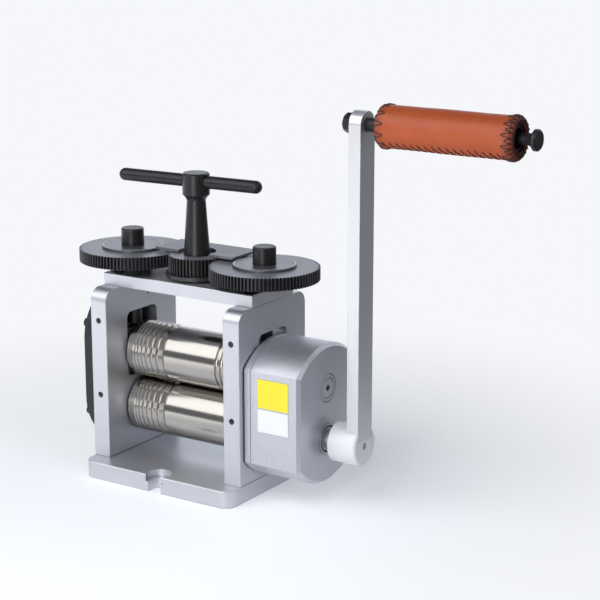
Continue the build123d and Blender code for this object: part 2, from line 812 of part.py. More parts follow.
def crank_bearing():
    """The bush that carries the crank shaft in the cover."""
    start_x = case_end_x - case_wall - crank_boss_depth
    end_x = case_end_x + crank_bearing_proud
    outer_radius = crank_bearing_diameter / 2 - press_clearance
    body = rod_x(outer_radius, start_x, end_x, 0, roll_axis_z)
    recess_x = end_x - bearing_recess_depth
    recess_radius = crank_bearing_diameter / 2 - bearing_rim
    body -= rod_x(recess_radius, recess_x, end_x, 0, roll_axis_z)
    inner_radius = crank_shaft_diameter / 2 + bearing_inner_wall
    body += rod_x(inner_radius, recess_x, end_x - bearing_inner_inset, 0, roll_axis_z)
    hole_radius = crank_shaft_diameter / 2 + running_clearance
    return body - rod_x(hole_radius, start_x, end_x, 0, roll_axis_z)


def sticker(mid_z, height):
    """A thin blank sticker on the gearbox's front flat."""
    front = -case_flat_half_width
    x0 = sticker_x - sticker_width / 2
    x1 = sticker_x + sticker_width / 2
    return block(x0, x1, front - sticker_thickness, front, mid_z - height / 2, mid_z + height / 2)


# ---- gear train -------------------------------------------------------------
def wheel_key_cut(x0, x1, bore_radius, z):
    """The room a key takes in the rear of a bore along X."""
    half = key_width / 2
    return block(x0, x1, -bore_radius - key_height, 0, z - half, z + half)


def shaft_key(x0, x1, shaft_radius, z):
    """A flat key let into a shaft along X and standing into the gear's bore."""
    half = key_width / 2 - key_clearance / 2
    deep = shaft_radius - key_height
    high = shaft_radius + key_height - key_clearance
    return block(x0, x1, -high, -deep, z - half, z + half)


def shaft_key_seat(x0, x1, shaft_radius, z):
    """The room a key takes in the shaft itself."""
    half = key_width / 2
    deep = shaft_radius - key_height
    return block(x0, x1, -2 * shaft_radius, -deep, z - half, z + half)


def layshaft_gears():
    """The middle pair of gears, cut in one piece: a wheel beside a pinion."""
    end_x = crank_pinion_x + wheel_thickness
    pinion = spur_gear(gear_module, pinion_teeth, wheel_thickness, gear_backlash, 0)
    wheel = spur_gear(
        gear_module, wheel_teeth, wheel_thickness, gear_backlash, 180.0 / wheel_teeth
    )
    body = gear_on_x(pinion, drive_wheel_x, layshaft_z)
    body += gear_on_x(wheel, crank_pinion_x, layshaft_z)
    neck_radius = gear_module * (pinion_teeth / 2 - 1.25)
    neck_end = drive_wheel_x + wheel_thickness + between_wheels
    body += rod_x(neck_radius, drive_wheel_x, neck_end, 0, layshaft_z)
    return body - rod_x(layshaft_bush_diameter / 2, drive_wheel_x, end_x, 0, layshaft_z)


def layshaft_bush():
    """The bush inside the middle gears."""
    x0 = drive_wheel_x
    x1 = crank_pinion_x + wheel_thickness
    outer_radius = layshaft_bush_diameter / 2 - press_clearance
    body = rod_x(outer_radius, x0, x1, 0, layshaft_z)
    hole_radius = layshaft_pin_diameter / 2 + running_clearance
    return body - rod_x(hole_radius, x0, x1, 0, layshaft_z)


def lower_drive_wheel():
    """The large gear on the lower roll, driven by the layshaft's pinion."""
    gear = spur_gear(
        gear_module, wheel_teeth, wheel_thickness, gear_backlash, 180.0 + 180.0 / wheel_teeth
    )
    body = gear_on_x(gear, drive_wheel_x, roll_axis_z)
    x1 = drive_wheel_x + wheel_thickness
    seat_radius = gear_seat_diameter / 2
    body -= rod_x(seat_radius + press_clearance, drive_wheel_x, x1, 0, roll_axis_z)
    return body - wheel_key_cut(drive_wheel_x, x1, seat_radius, roll_axis_z)


def crank_pinion():
    """The small gear on the crank shaft."""
    gear = spur_gear(gear_module, pinion_teeth, wheel_thickness, gear_backlash, 180.0)
    body = gear_on_x(gear, crank_pinion_x, roll_axis_z)
    x1 = crank_pinion_x + wheel_thickness
    bore = crank_shaft_diameter / 2 + press_clearance
    return body - rod_x(bore, crank_pinion_x, x1, 0, roll_axis_z)


def coupling_gear(z, tooth_at):
    """One of the two long toothed gears that keep the rolls turning together."""
    outline = gear_outline(
        coupling_module, coupling_teeth, coupling_addendum, coupling_dedendum,
        coupling_backlash, coupling_pressure_angle, tooth_at,
    )
    x0 = -outer_x - coupling_inset - coupling_thickness
    body = gear_on_x(extrude(outline, amount=coupling_thickness), x0, z)
    seat_radius = gear_seat_diameter / 2
    x1 = x0 + coupling_thickness
    body -= rod_x(seat_radius + press_clearance, x0, x1, 0, z)
    return body - wheel_key_cut(x0, x1, seat_radius, z)


def lower_coupling_gear():
    """The coupling gear on the lower roll, with a tooth pointing up."""
    return coupling_gear(roll_axis_z, 180.0)


def upper_coupling_gear():
    """The coupling gear on the upper roll, with a gap facing down."""
    return coupling_gear(upper_axis_z, 180.0 / coupling_teeth)


# ---- rolls ------------------------------------------------------------------
def vee_points(radius):
    """The row of V grooves, small to large, as (x, radius) points."""
    points = []
    x = -vee_group_start
    for pitch in vee_pitches:
        width = pitch - vee_land
        depth = width * vee_depth_share
        points.append((x, radius))
        points.append((x + width / 2, radius - depth))
        points.append((x + width, radius))
        x += pitch
    return points


def roll_body(z, left_end, right_end, right_seat):
    """A roll with its journals; right_seat is where the right journal steps down."""
    r = roll_diameter / 2
    half = roll_face_length / 2
    journal = journal_diameter / 2
    seat = gear_seat_diameter / 2
    points = [(left_end, 0), (left_end, seat), (-outer_x, seat), (-outer_x, journal)]
    points += [(-half, journal), (-half, r - roll_end_chamfer), (-half + roll_end_chamfer, r)]
    points += vee_points(r)
    points += [(half - roll_end_chamfer, r), (half, r - roll_end_chamfer), (half, journal)]
    points += [(right_seat, journal)]
    if right_end > right_seat:
        points += [(right_seat, seat), (right_end, seat)]
    points += [(right_end, 0)]
    return turned_x(points, z)


def lower_roll():
    """The lower roll: V grooves on the left, gear seats on both ends."""
    left_end = -outer_x - coupling_inset - coupling_thickness
    body = roll_body(roll_axis_z, left_end, journal_end_x, case_start_x + journal_step_inset)
    pilot_radius = pilot_bush_diameter / 2
    body -= rod_x(pilot_radius, journal_end_x - pilot_depth, journal_end_x, 0, roll_axis_z)
    seat_radius = gear_seat_diameter / 2
    body -= shaft_key_seat(drive_wheel_x, journal_end_x, seat_radius, roll_axis_z)
    return body - shaft_key_seat(left_end, -outer_x - coupling_inset, seat_radius, roll_axis_z)


def upper_roll():
    """The upper roll: V grooves on the left, half round grooves on the right."""
    left_end = -outer_x - coupling_inset - coupling_thickness
    right_end = outer_x - upper_journal_inset
    body = roll_body(upper_axis_z, left_end, right_end, right_end)
    for index in range(wire_groove_count):
        x = wire_groove_start + index * wire_groove_pitch
        ring = Torus(roll_diameter / 2, wire_groove_radius)
        body -= Pos(x, 0, upper_axis_z) * Rot(0, 90, 0) * ring
    seat_radius = gear_seat_diameter / 2
    return body - shaft_key_seat(left_end, -outer_x - coupling_inset, seat_radius, upper_axis_z)


def lower_roll_keys():
    """The two keys that hold the lower roll's gears."""
    left_end = -outer_x - coupling_inset - coupling_thickness
    seat_radius = gear_seat_diameter / 2
    right = shaft_key(
        drive_wheel_x, drive_wheel_x + wheel_thickness, seat_radius, roll_axis_z
    )
    left = shaft_key(left_end, left_end + coupling_thickness, seat_radius, roll_axis_z)
    return Compound([left, right])


def upper_roll_key():
    """The key that holds the upper roll's gear."""
    left_end = -outer_x - coupling_inset - coupling_thickness
    seat_radius = gear_seat_diameter / 2
    return shaft_key(left_end, left_end + coupling_thickness, seat_radius, upper_axis_z)


def pilot_bush():
    """The bush in the end of the lower roll that steadies the crank shaft."""
    x0 = journal_end_x - pilot_depth + pilot_bush_end_gap
    outer_radius = pilot_bush_diameter / 2 - press_clearance
    body = rod_x(outer_radius, x0, journal_end_x, 0, roll_axis_z)
    hole_radius = crank_pilot_diameter / 2 + running_clearance
    return body - rod_x(hole_radius, x0, journal_end_x, 0, roll_axis_z)


# ---- sliding bearings of the upper roll --------------------------------------
def block_sides(side):
    """Where a sliding block starts and ends along X."""
    near = side * (inner_x + block_side_clearance)
    far = side * (outer_x - block_side_clearance)
    return sorted((near, far))


def bearing_block(side):
    """The block that carries the upper roll and slides in a side plate's window."""
    x0, x1 = block_sides(side)
    half_width = window_width / 2 - block_slide_clearance
    body = block(x0, x1, -half_width, half_width, block_bottom_z, block_top_z)
    body = chamfer(body.edges().filter_by(Axis.X), block_corner_chamfer)
    body -= rod_x(bush_outer_diameter / 2, x0, x1, 0, upper_axis_z)
    for y in (-spring_y, spring_y):
        pocket_top = block_bottom_z + spring_pocket_depth
        body -= rod_z(spring_pocket_diameter / 2, block_bottom_z, pocket_top, side * plate_mid_x, y)
    return body


def upper_bushes():
    """The two bronze bushes in the sliding blocks."""
    bushes = []
    for side in (-1, 1):
        x0, x1 = block_sides(side)
        ring = rod_x(bush_outer_diameter / 2 - press_clearance, x0, x1, 0, upper_axis_z)
        ring -= rod_x(journal_diameter / 2 + running_clearance, x0, x1, 0, upper_axis_z)
        bushes.append(ring)
    return Compound(bushes)


def lift_springs():
    """Four small coil springs that lift the sliding blocks."""
    low_z = window_bottom_z + spring_wire / 2 + spring_end_gap
    high_z = block_bottom_z + spring_pocket_depth - spring_wire / 2 - spring_end_gap
    coil_radius = (spring_coil_diameter - spring_wire) / 2
    height = high_z - low_z
    path = Helix(height / spring_turns, height, coil_radius)
    start = path @ 0
    section = RegularPolygon(spring_wire / 2, spring_wire_sides)
    profile = Plane(origin=start, z_dir=path % 0) * section
    coil = sweep(profile, path=path)
    springs = []
    for x in (-plate_mid_x, plate_mid_x):
        for y in (-spring_y, spring_y):
            springs.append(Pos(x, y, low_z) * coil)
    return Compound(springs)


# ---- adjusting gears and screws -----------------------------------------------
def adjusting_gear(side):
    """The large gear that turns one adjusting screw; its key rib faces the rear."""
    tooth_at = 180.0 / adjust_teeth
    gear = spur_gear(
        adjust_module, adjust_teeth, adjust_gear_thickness, gear_backlash, tooth_at
    )
    gear -= Cylinder(adjust_post_diameter / 2 + running_clearance,
                     adjust_gear_thickness, align=BASE)
    half = key_width / 2 - key_clearance
    inner = adjust_post_diameter / 2 - key_height + key_clearance
    outer = adjust_post_diameter / 2 + key_height
    gear += block(-half, half, inner, outer, 0, adjust_gear_thickness)
    return Pos(side * adjust_centres, 0, adjust_gear_bottom_z) * gear


def dial(side):
    """The round dial plate on top of an adjusting gear."""
    body = Cylinder(dial_radius, dial_thickness, align=BASE)
    body = chamfer(body.faces().sort_by(Axis.Z)[-1].edges(), dial_edge_chamfer)
    body -= Cylinder(adjust_post_diameter / 2 + dial_bore_clearance, dial_thickness, align=BASE)
    return Pos(side * adjust_centres, 0, adjust_gear_top_z) * body


def adjusting_screw(side):
    """A screw whose tip presses a sliding block and whose post rises past its gear."""
    tip_z = block_top_z + screw_tip_gap
    thread = adjust_thread_diameter / 2
    post = adjust_post_diameter / 2
    points = [
        (0, tip_z), (screw_tip_radius, tip_z), (thread, tip_z + screw_tip_height), (thread, post_bottom_z),
        (post, post_bottom_z), (post, adjust_post_top_z - adjust_post_chamfer),
        (post - adjust_post_chamfer, adjust_post_top_z), (0, adjust_post_top_z),
    ]
    body = turned_z(points, side * plate_mid_x, 0)
    x = side * plate_mid_x
    half = key_width / 2
    inner = post - key_height
    return body - block(x - half, x + half, inner, 2 * post, post_bottom_z, keyway_top_z)


# ---- tee handle ----------------------------------------------------------------
def handle_post():
    """The tapered post that turns the centre gear, with a cross hole in its head."""
    low_z = plate_top_z - axial_play
    pivot = pivot_diameter / 2
    mid_z = (cone_top_z + head_bottom_z) / 2
    points = [
        (0, low_z), (pivot, low_z), (pivot, centre_gear_top_z),
        (cone_base_radius, centre_gear_top_z), (cone_top_radius, cone_top_z),
        (flare_mid_radius, mid_z), (head_radius, head_bottom_z),
        (head_radius, head_top_z - head_edge_chamfer),
        (head_radius - head_edge_chamfer, head_top_z), (0, head_top_z),
    ]
    body = turned_z(points)
    hole_radius = tee_bar_diameter / 2 + slide_clearance
    hole = rod_x(hole_radius, -2 * head_radius, 2 * head_radius, 0, tee_bar_z)
    body -= Rot(0, 0, tee_bar_yaw) * hole
    screw_radius = retainer_screw_diameter / 2 + thread_clearance
    return body - rod_z(screw_radius, low_z, low_z + retainer_screw_grip + tapping_extra_depth)


def centre_gear():
    """The gear between the two adjusting gears, with a flange under its teeth."""
    gear = spur_gear(adjust_module, centre_teeth, centre_gear_thickness, gear_backlash, 0)
    gear = Pos(0, 0, centre_gear_bottom_z) * gear
    flange_bottom = centre_gear_bottom_z - centre_flange_thickness
    gear += rod_z(centre_flange_radius, flange_bottom, centre_gear_bottom_z)
    return gear - rod_z(pivot_diameter / 2 + press_clearance, flange_bottom, centre_gear_top_z)


def handle_retainer():
    """The washer under the top plate that keeps the handle from lifting out."""
    high_z = plate_top_z - axial_play
    low_z = high_z - retainer_thickness
    body = rod_z(retainer_diameter / 2, low_z, high_z)
    return body - rod_z(retainer_screw_diameter / 2 + plain_hole_clearance, low_z, high_z)


def handle_retainer_screw():
    """The screw that holds the washer to the end of the pivot."""
    seat_z = plate_top_z - axial_play - retainer_thickness
    screw = socket_screw(
        retainer_screw_diameter, retainer_thickness + retainer_screw_grip,
        retainer_screw_head_diameter, retainer_screw_head_height,
    )
    return Pos(0, 0, seat_z) * Rot(180, 0, 0) * screw


def tee_bar():
    """The round ended bar that slides in the head of the post."""
    r = tee_bar_diameter / 2
    straight = tee_bar_half_length - r
    bar = rod_x(r, -straight, straight)
    bar += Pos(-straight, 0, 0) * Sphere(r)
    bar += Pos(straight, 0, 0) * Sphere(r)
    return Rot(0, 0, tee_bar_yaw) * Pos(tee_bar_offset, 0, 0) * Pos(0, 0, tee_bar_z) * bar


# ---- crank -----------------------------------------------------------------------
def crank_shaft():
    """The input shaft, with a thin pilot that runs in the end of the lower roll."""
    pilot = crank_pilot_diameter / 2
    shaft = crank_shaft_diameter / 2
    pilot_start = journal_end_x - pilot_depth + pilot_end_gap
    shoulder_x = journal_end_x + shoulder_gap
    points = [
        (pilot_start, 0), (pilot_start, pilot), (shoulder_x, pilot), (shoulder_x, shaft),
        (hub_start_x + hub_shaft_depth, shaft), (hub_start_x + hub_shaft_depth, 0),
    ]
    return turned_x(points, roll_axis_z)


def crank_hub():
    """The round hub on the shaft, slotted at its outer end for the arm."""
    body = rod_x(hub_diameter / 2, hub_start_x, hub_end_x, 0, roll_axis_z)
    body = chamfer(body.faces().sort_by(Axis.X)[-1].edges(), hub_chamfer)
    shaft_radius = crank_shaft_diameter / 2 + press_clearance
    shaft_end = hub_start_x + hub_shaft_depth + hub_bore_extra_depth
    body -= rod_x(shaft_radius, hub_start_x, shaft_end, 0, roll_axis_z)
    body -= rod_x(hub_centre_hole / 2, shaft_end, hub_end_x, 0, roll_axis_z)
    foot_z = roll_axis_z + arm_foot_above_axis
    slot_x = hub_end_x - arm_thickness
    half = arm_width / 2
    body -= block(slot_x, hub_end_x, -half, half, foot_z, foot_z + hub_diameter)
    screw_x = hub_start_x + hub_shaft_depth / 2
    hole_radius = hub_screw_diameter / 2 + thread_clearance
    return body - rod_y(hole_radius, shaft_radius, hub_diameter, screw_x, roll_axis_z)


def hub_set_screw():
    """The headless screw that grips the shaft inside the hub."""
    start_y = crank_shaft_diameter / 2 + thread_clearance
    screw_x = hub_start_x + hub_shaft_depth / 2
    body = rod_y(hub_screw_diameter / 2, start_y, start_y + hub_screw_length, screw_x, roll_axis_z)
    socket = extrude(RegularPolygon(hub_screw_diameter / 4, 6), amount=hex_socket_depth)
    place = Pos(screw_x, start_y + hub_screw_length - hex_socket_depth, roll_axis_z)
    return body - place * Rot(-90, 0, 0) * socket


def crank_arm():
    """The flat arm, square at the hub and rounded at the grip."""
    half = arm_width / 2
    foot_z = roll_axis_z + arm_foot_above_axis
    outline = Pos(0, (foot_z + handle_axis_z) / 2) * Rectangle(arm_width, handle_axis_z - foot_z)
    outline += Pos(0, handle_axis_z) * Circle(half)
    x0 = hub_end_x - arm_thickness
    body = prism_x(outline, x0, hub_end_x)
    for rim in (body.faces().sort_by(Axis.X)[0], body.faces().sort_by(Axis.X)[-1]):
        foot_edge = rim.edges().sort_by(Axis.Z)[0]
        body = chamfer([edge for edge in rim.edges() if edge != foot_edge], arm_edge_chamfer)
    return body - rod_x(spindle_diameter / 2 + slide_clearance, x0, hub_end_x, 0, handle_axis_z)


def grip_spindle():
    """The pin the grip turns on, with a collar at the arm and a flared outer end."""
    pin = spindle_diameter / 2
    collar = collar_diameter / 2
    nut_end = hub_end_x - arm_thickness - nut_thickness
    collar_end = grip_start_x + grip_core_end_inset - collar_gap
    flare_start = spindle_end_x - flare_length
    rim_start = spindle_end_x - flare_rim
    points = [
        (nut_end, 0), (nut_end, pin - spindle_end_chamfer),
        (nut_end + spindle_end_chamfer, pin), (hub_end_x, pin), (hub_end_x, collar),
        (collar_end, collar), (collar_end, pin), (flare_start, pin),
        (flare_start + flare_neck_length, pin + flare_neck_rise),
        (rim_start - flare_shoulder_length, flare_radius - flare_shoulder_drop),
        (rim_start, flare_radius), (spindle_end_x - flare_end_chamfer, flare_radius),
        (spindle_end_x, flare_radius - flare_end_chamfer), (spindle_end_x, 0),
    ]
    return turned_x(points, handle_axis_z)


def spindle_nut():
    """The nut on the inner side of the arm."""
    arm_in = hub_end_x - arm_thickness
    half_flats = nut_across_flats / 2
    body = extrude(RegularPolygon(half_flats, 6, major_radius=False), amount=nut_thickness)
    straight = nut_thickness - nut_round_height
    cone = Cone(nut_across_flats, half_flats - nut_end_drop, nut_round_height, align=BASE)
    envelope = Pos(0, 0, straight) * cone + Cylinder(nut_across_flats, straight, align=BASE)
    body &= envelope
    body -= Cylinder(spindle_diameter / 2 + thread_clearance, nut_thickness, align=BASE)
    return Pos(arm_in, 0, handle_axis_z) * Rot(0, -90, 0) * body


def grip_core():
    """The stiff tube inside the grip, counterbored at its outer end."""
    core_radius = grip_radius - leather_thickness
    x0 = grip_start_x + grip_core_end_inset
    x1 = grip_end_x - grip_core_end_inset
    body = rod_x(core_radius, x0, x1, 0, handle_axis_z)
    body -= rod_x(spindle_diameter / 2 + grip_running_clearance, x0, x1, 0, handle_axis_z)
    return body - rod_x(grip_socket_diameter / 2, x1 - grip_socket_depth, x1, 0, handle_axis_z)


def leather_sleeve():
    """The leather round the core, turned in over both of its ends."""
    r = grip_radius
    inner = r - leather_thickness + press_clearance
    lip = leather_lip_radius
    edge = leather_edge
    x0 = grip_start_x
    x1 = grip_end_x
    inset = grip_core_end_inset - press_clearance
    points = [
        (x0, lip), (x0, r - 2 * edge), (x0 + 0.5 * edge, r - 0.5 * edge), (x0 + 2 * edge, r),
        (x1 - 2 * edge, r), (x1 - 0.5 * edge, r - 0.5 * edge), (x1, r - 2 * edge), (x1, lip),
        (x1 - inset, lip), (x1 - inset, inner), (x0 + inset, inner), (x0 + inset, lip),
    ]
    return turned_x(points, handle_axis_z)


def grip_point(x, angle):
    """A point just over the leather, angle 0 at the front and 90 on top."""
    radius = grip_radius + stitch_thread / 2 + stitch_lift
    turn = radians(angle)
    return (x, -radius * cos(turn), handle_axis_z + radius * sin(turn))


def stitch(x0, angle0, x1, angle1):
    """One stitch of thread that lies over the round of the leather."""
    middle = grip_point((x0 + x1) / 2, (angle0 + angle1) / 2)
    path = Edge.make_three_point_arc(grip_point(x0, angle0), middle, grip_point(x1, angle1))
    profile = Plane(origin=path @ 0, z_dir=path % 0) * Circle(stitch_thread / 2)
    return sweep(profile, path=path)


def end_stitches(x_end, inward):
    """A ring of V shaped stitch pairs beside one end of the sleeve."""
    near_x = x_end + inward * end_stitch_inset
    far_x = near_x + inward * end_stitch_length
    step = 360.0 / end_stitch_pairs
    gap = end_stitch_spacing
    stitches = []
    for index in range(end_stitch_pairs):
        start = index * step
        middle = start + step / 2
        stitches.append(stitch(near_x, start + gap, far_x, middle - gap))
        stitches.append(stitch(near_x, start + step - gap, far_x, middle + gap))
    return stitches


def seam_stitches():
    """The slanted stitches along the sleeve's long seam."""
    run = (seam_stitch_count - 1) * seam_stitch_pitch
    first_x = (grip_start_x + grip_end_x - run) / 2
    half_slant = seam_stitch_slant / 2
    low_angle = seam_angle - seam_stitch_spread
    high_angle = seam_angle + seam_stitch_spread
    places = [first_x + index * seam_stitch_pitch for index in range(seam_stitch_count)]
    return [stitch(x + half_slant, low_angle, x - half_slant, high_angle) for x in places]


def grip_lacing():
    """The thread that laces both ends of the sleeve and its long seam."""
    rings = end_stitches(grip_start_x, 1) + end_stitches(grip_end_x, -1)
    return Compound(rings + seam_stitches())


# ---- write every piece ------------------------------------------------------------
def all_nodes():
    """Every piece by its node name."""
    return {
        "base_plate": base_plate(),
        "left_side_plate": left_side_plate(),
        "right_side_plate": right_side_plate(),
        "top_plate": top_plate(),
        "base_screws": base_screws(),
        "top_plate_screws": top_plate_screws(),
        "left_screw_nut": screw_nut(-1),
        "right_screw_nut": screw_nut(1),
        "left_lower_bush": lower_bush(-1),
        "right_lower_bush": lower_bush(1),
        "pivot_bush": pivot_bush(),
        "gear_spacers": gear_spacers(),
        "pointer_plate": pointer_plate(),
        "pointer_screws": pointer_screws(),
        "left_gear_cover": left_gear_cover(),
        "left_cover_screws": left_cover_screws(),
        "gearbox_gasket": gearbox_gasket(),
        "gearbox_back_plate": gearbox_back_plate(),
        "gearbox_cover": gearbox_cover(),
        "gearbox_screws": gearbox_screws(),
        "layshaft_pin": layshaft_pin(),
        "layshaft_ring": layshaft_ring(),
        "crank_bearing": crank_bearing(),
        "yellow_sticker": sticker(yellow_sticker_z, yellow_sticker_height),
        "white_sticker": sticker(white_sticker_z, white_sticker_height),
        "layshaft_gears": layshaft_gears(),
        "layshaft_bush": layshaft_bush(),
        "lower_roll": lower_roll(),
        "lower_drive_wheel": lower_drive_wheel(),
        "lower_coupling_gear": lower_coupling_gear(),
        "lower_roll_keys": lower_roll_keys(),
        "pilot_bush": pilot_bush(),
        "left_bearing_block": bearing_block(-1),
        "right_bearing_block": bearing_block(1),
        "upper_bushes": upper_bushes(),
        "lift_springs": lift_springs(),
        "upper_roll": upper_roll(),
        "upper_coupling_gear": upper_coupling_gear(),
        "upper_roll_key": upper_roll_key(),
        "left_adjusting_gear": adjusting_gear(-1),
        "right_adjusting_gear": adjusting_gear(1),
        "left_dial": dial(-1),
        "right_dial": dial(1),
        "left_adjusting_screw": adjusting_screw(-1),
        "right_adjusting_screw": adjusting_screw(1),
        "handle_post": handle_post(),
        "centre_gear": centre_gear(),
        "handle_retainer": handle_retainer(),
        "handle_retainer_screw": handle_retainer_screw(),
        "tee_bar": tee_bar(),
        "crank_shaft": crank_shaft(),
        "crank_pinion": crank_pinion(),
        "crank_hub": crank_hub(),
        "hub_set_screw": hub_set_screw(),
        "crank_arm": crank_arm(),
        "grip_spindle": grip_spindle(),
        "spindle_nut": spindle_nut(),
        "grip_core": grip_core(),
        "leather_sleeve": leather_sleeve(),
        "grip_lacing": grip_lacing(),
    }


os.makedirs("parts", exist_ok=True)
for node_name, shape in all_nodes().items():
    export_step(shape, "parts/" + node_name + ".step")
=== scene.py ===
"""Looks of a hand cranked jewellers rolling mill.

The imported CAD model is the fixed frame. This file dresses its nodes with
procedural finishes, models the leather grip, its lacing and the printed dials,
and sets a plain pale studio. Lengths are metres unless a name ends in _mm.
"""

from __future__ import annotations

import json
import logging
import math
from dataclasses import dataclass, replace
from enum import Enum

import bpy
import numpy as np
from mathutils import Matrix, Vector

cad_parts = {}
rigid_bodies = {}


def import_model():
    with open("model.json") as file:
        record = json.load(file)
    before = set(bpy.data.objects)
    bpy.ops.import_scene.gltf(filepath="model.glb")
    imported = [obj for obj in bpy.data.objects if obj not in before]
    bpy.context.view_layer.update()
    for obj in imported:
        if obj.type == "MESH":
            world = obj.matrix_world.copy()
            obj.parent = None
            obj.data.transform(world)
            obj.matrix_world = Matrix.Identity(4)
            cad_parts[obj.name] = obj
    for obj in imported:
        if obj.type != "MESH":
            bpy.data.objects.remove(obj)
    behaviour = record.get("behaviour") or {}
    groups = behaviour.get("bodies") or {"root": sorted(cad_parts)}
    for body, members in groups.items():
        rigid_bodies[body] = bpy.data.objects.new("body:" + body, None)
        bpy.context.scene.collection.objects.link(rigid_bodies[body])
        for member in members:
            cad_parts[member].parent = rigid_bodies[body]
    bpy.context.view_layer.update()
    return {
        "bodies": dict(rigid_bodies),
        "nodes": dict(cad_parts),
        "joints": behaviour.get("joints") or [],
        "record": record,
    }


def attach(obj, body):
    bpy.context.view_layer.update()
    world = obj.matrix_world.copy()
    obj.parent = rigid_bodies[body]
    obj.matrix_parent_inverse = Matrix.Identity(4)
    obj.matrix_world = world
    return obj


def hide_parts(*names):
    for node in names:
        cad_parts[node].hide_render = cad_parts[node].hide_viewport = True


LOG = logging.getLogger("rolling_mill")
MM = 0.001
Tree = bpy.types.NodeTree
Socket = bpy.types.NodeSocket
Material = bpy.types.Material
Piece = bpy.types.Object
Array = np.ndarray


# ---------------------------------------------------------------- small tools
def linear(hex_colour: str) -> tuple[float, float, float, float]:
    """Turns an sRGB hex colour into a linear RGBA colour.

    Args:
        hex_colour: six hex digits, such as "B5572E".

    Returns:
        Linear red, green, blue and an alpha of 1.
    """
    channels = [int(hex_colour[i:i + 2], 16) / 255.0 for i in (0, 2, 4)]
    curve = [c / 12.92 if c <= 0.04045 else ((c + 0.055) / 1.055) ** 2.4 for c in channels]
    return (curve[0], curve[1], curve[2], 1.0)


def add_node(
    tree: Tree,
    kind: str,
    inputs: dict[str | int, object] | None = None,
    **settings: object,
) -> bpy.types.Node:
    """Adds one shader node with its settings, values and links.

    Args:
        tree: the node tree that gets the node.
        kind: the node's type name.
        inputs: input name or place to a plain value or to a socket to link.
        **settings: properties of the node itself.

    Returns:
        The new node.
    """
    node = tree.nodes.new(kind)
    for name, value in settings.items():
        setattr(node, name, value)
    for key, value in (inputs or {}).items():
        if isinstance(value, Socket):
            tree.links.new(value, node.inputs[key])
        else:
            node.inputs[key].default_value = value
    return node


def remap(
    tree: Tree, value: Socket, start: float, end: float,
    low: float = 0.0, high: float = 1.0, smooth: bool = False,
) -> Socket:
    """A value that goes from low at start to high at end, and stays there past both.

    Args:
        tree: the node tree.
        value: what is read.
        start: where the change begins.
        end: where it is complete.
        low: the result at start.
        high: the result at end.
        smooth: whether it eases in and out.

    Returns:
        The result's socket.
    """
    node = add_node(tree, "ShaderNodeMapRange",
                    {"Value": value, "From Min": start, "From Max": end,
                     "To Min": low, "To Max": high},
                    interpolation_type="SMOOTHSTEP" if smooth else "LINEAR")
    return node.outputs[0]


def calc(tree: Tree, operation: str, *values: object) -> Socket:
    """One step of arithmetic on sockets and plain numbers.

    Args:
        tree: the node tree.
        operation: its name, such as "MULTIPLY".
        *values: what it works on, in order.

    Returns:
        The result's socket.
    """
    return add_node(tree, "ShaderNodeMath", dict(enumerate(values)), operation=operation).outputs[0]


def mix_colours(
    tree: Tree, share: object, first: object, second: object, **settings: object
) -> Socket:
    """Mixes two colours.

    Args:
        tree: the node tree.
        share: how much of the second, from 0 to 1.
        first: a colour or its socket.
        second: a colour or its socket.
        **settings: properties of the mix node.

    Returns:
        The mixed colour's socket.
    """
    node = add_node(tree, "ShaderNodeMix", {0: share, 6: first, 7: second},
                    data_type="RGBA", **settings)
    return node.outputs[2]


def mix_values(
    tree: Tree, share: object, first: object, second: object
) -> Socket:
    """Mixes two numbers, as mix_colours does colours."""
    node = add_node(tree, "ShaderNodeMix", {0: share, 2: first, 3: second}, data_type="FLOAT")
    return node.outputs[0]


def noise(
    tree: Tree, place: Socket, size_mm: float, detail: float,
    roughness: float = 0.5,
) -> Socket:
    """Cloudy noise.

    Args:
        tree: the node tree.
        place: where it is read.
        size_mm: how far apart its lumps lie.
        detail: how many finer layers it has.
        roughness: how strong these are.

    Returns:
        A socket from 0 to 1.
    """
    return add_node(tree, "ShaderNodeTexNoise",
                    {"Vector": place, "Scale": 1.0 / (size_mm * MM), "Detail": detail,
                     "Roughness": roughness}).outputs[0]


def flat_length(
    tree: Tree, place: Socket, across: tuple[float, float, float]
) -> Socket:
    """The length of a place's vector, with or without each of its axes.

    Args:
        tree: the node tree.
        place: the vector.
        across: 1 for each axis that is kept and 0 for the others.

    Returns:
        The length's socket.
    """
    flat = add_node(tree, "ShaderNodeVectorMath", {0: place, 1: across}, operation="MULTIPLY")
    node = add_node(tree, "ShaderNodeVectorMath", {0: flat.outputs[0]}, operation="LENGTH")
    return node.outputs["Value"]


def surface(tree: Tree, inputs: dict[str | int, object]) -> None:
    """Ends a material with one principled surface.

    Args:
        tree: the material's tree.
        inputs: the surface's values and links.
    """
    shader = add_node(tree, "ShaderNodeBsdfPrincipled", inputs)
    add_node(tree, "ShaderNodeOutputMaterial", {"Surface": shader.outputs[0]})


def put_in_scene(name: str, data: bpy.types.ID) -> Piece:
    """Makes an object at the origin from its data and puts it in the scene."""
    made = bpy.data.objects.new(name, data)
    bpy.context.scene.collection.objects.link(made)
    return made


def blank_material(name: str) -> tuple[Material, Tree]:
    """Makes a material with an empty node tree.

    Args:
        name: the material's name.

    Returns:
        The material and its node tree.
    """
    material = bpy.data.materials.new(name)
    material.use_nodes = True
    material.node_tree.nodes.clear()
    return material, material.node_tree


def dress(frame: dict, nodes: tuple[str, ...], material: Material) -> None:
    """Gives CAD nodes a finish through their material slots.

    Args:
        nodes: names of the CAD nodes.
        material: the finish.
    """
    for node in nodes:
        for place in frame["nodes"][node].material_slots:
            place.material = material
        LOG.info("dressed %s in %s", node, material.name)


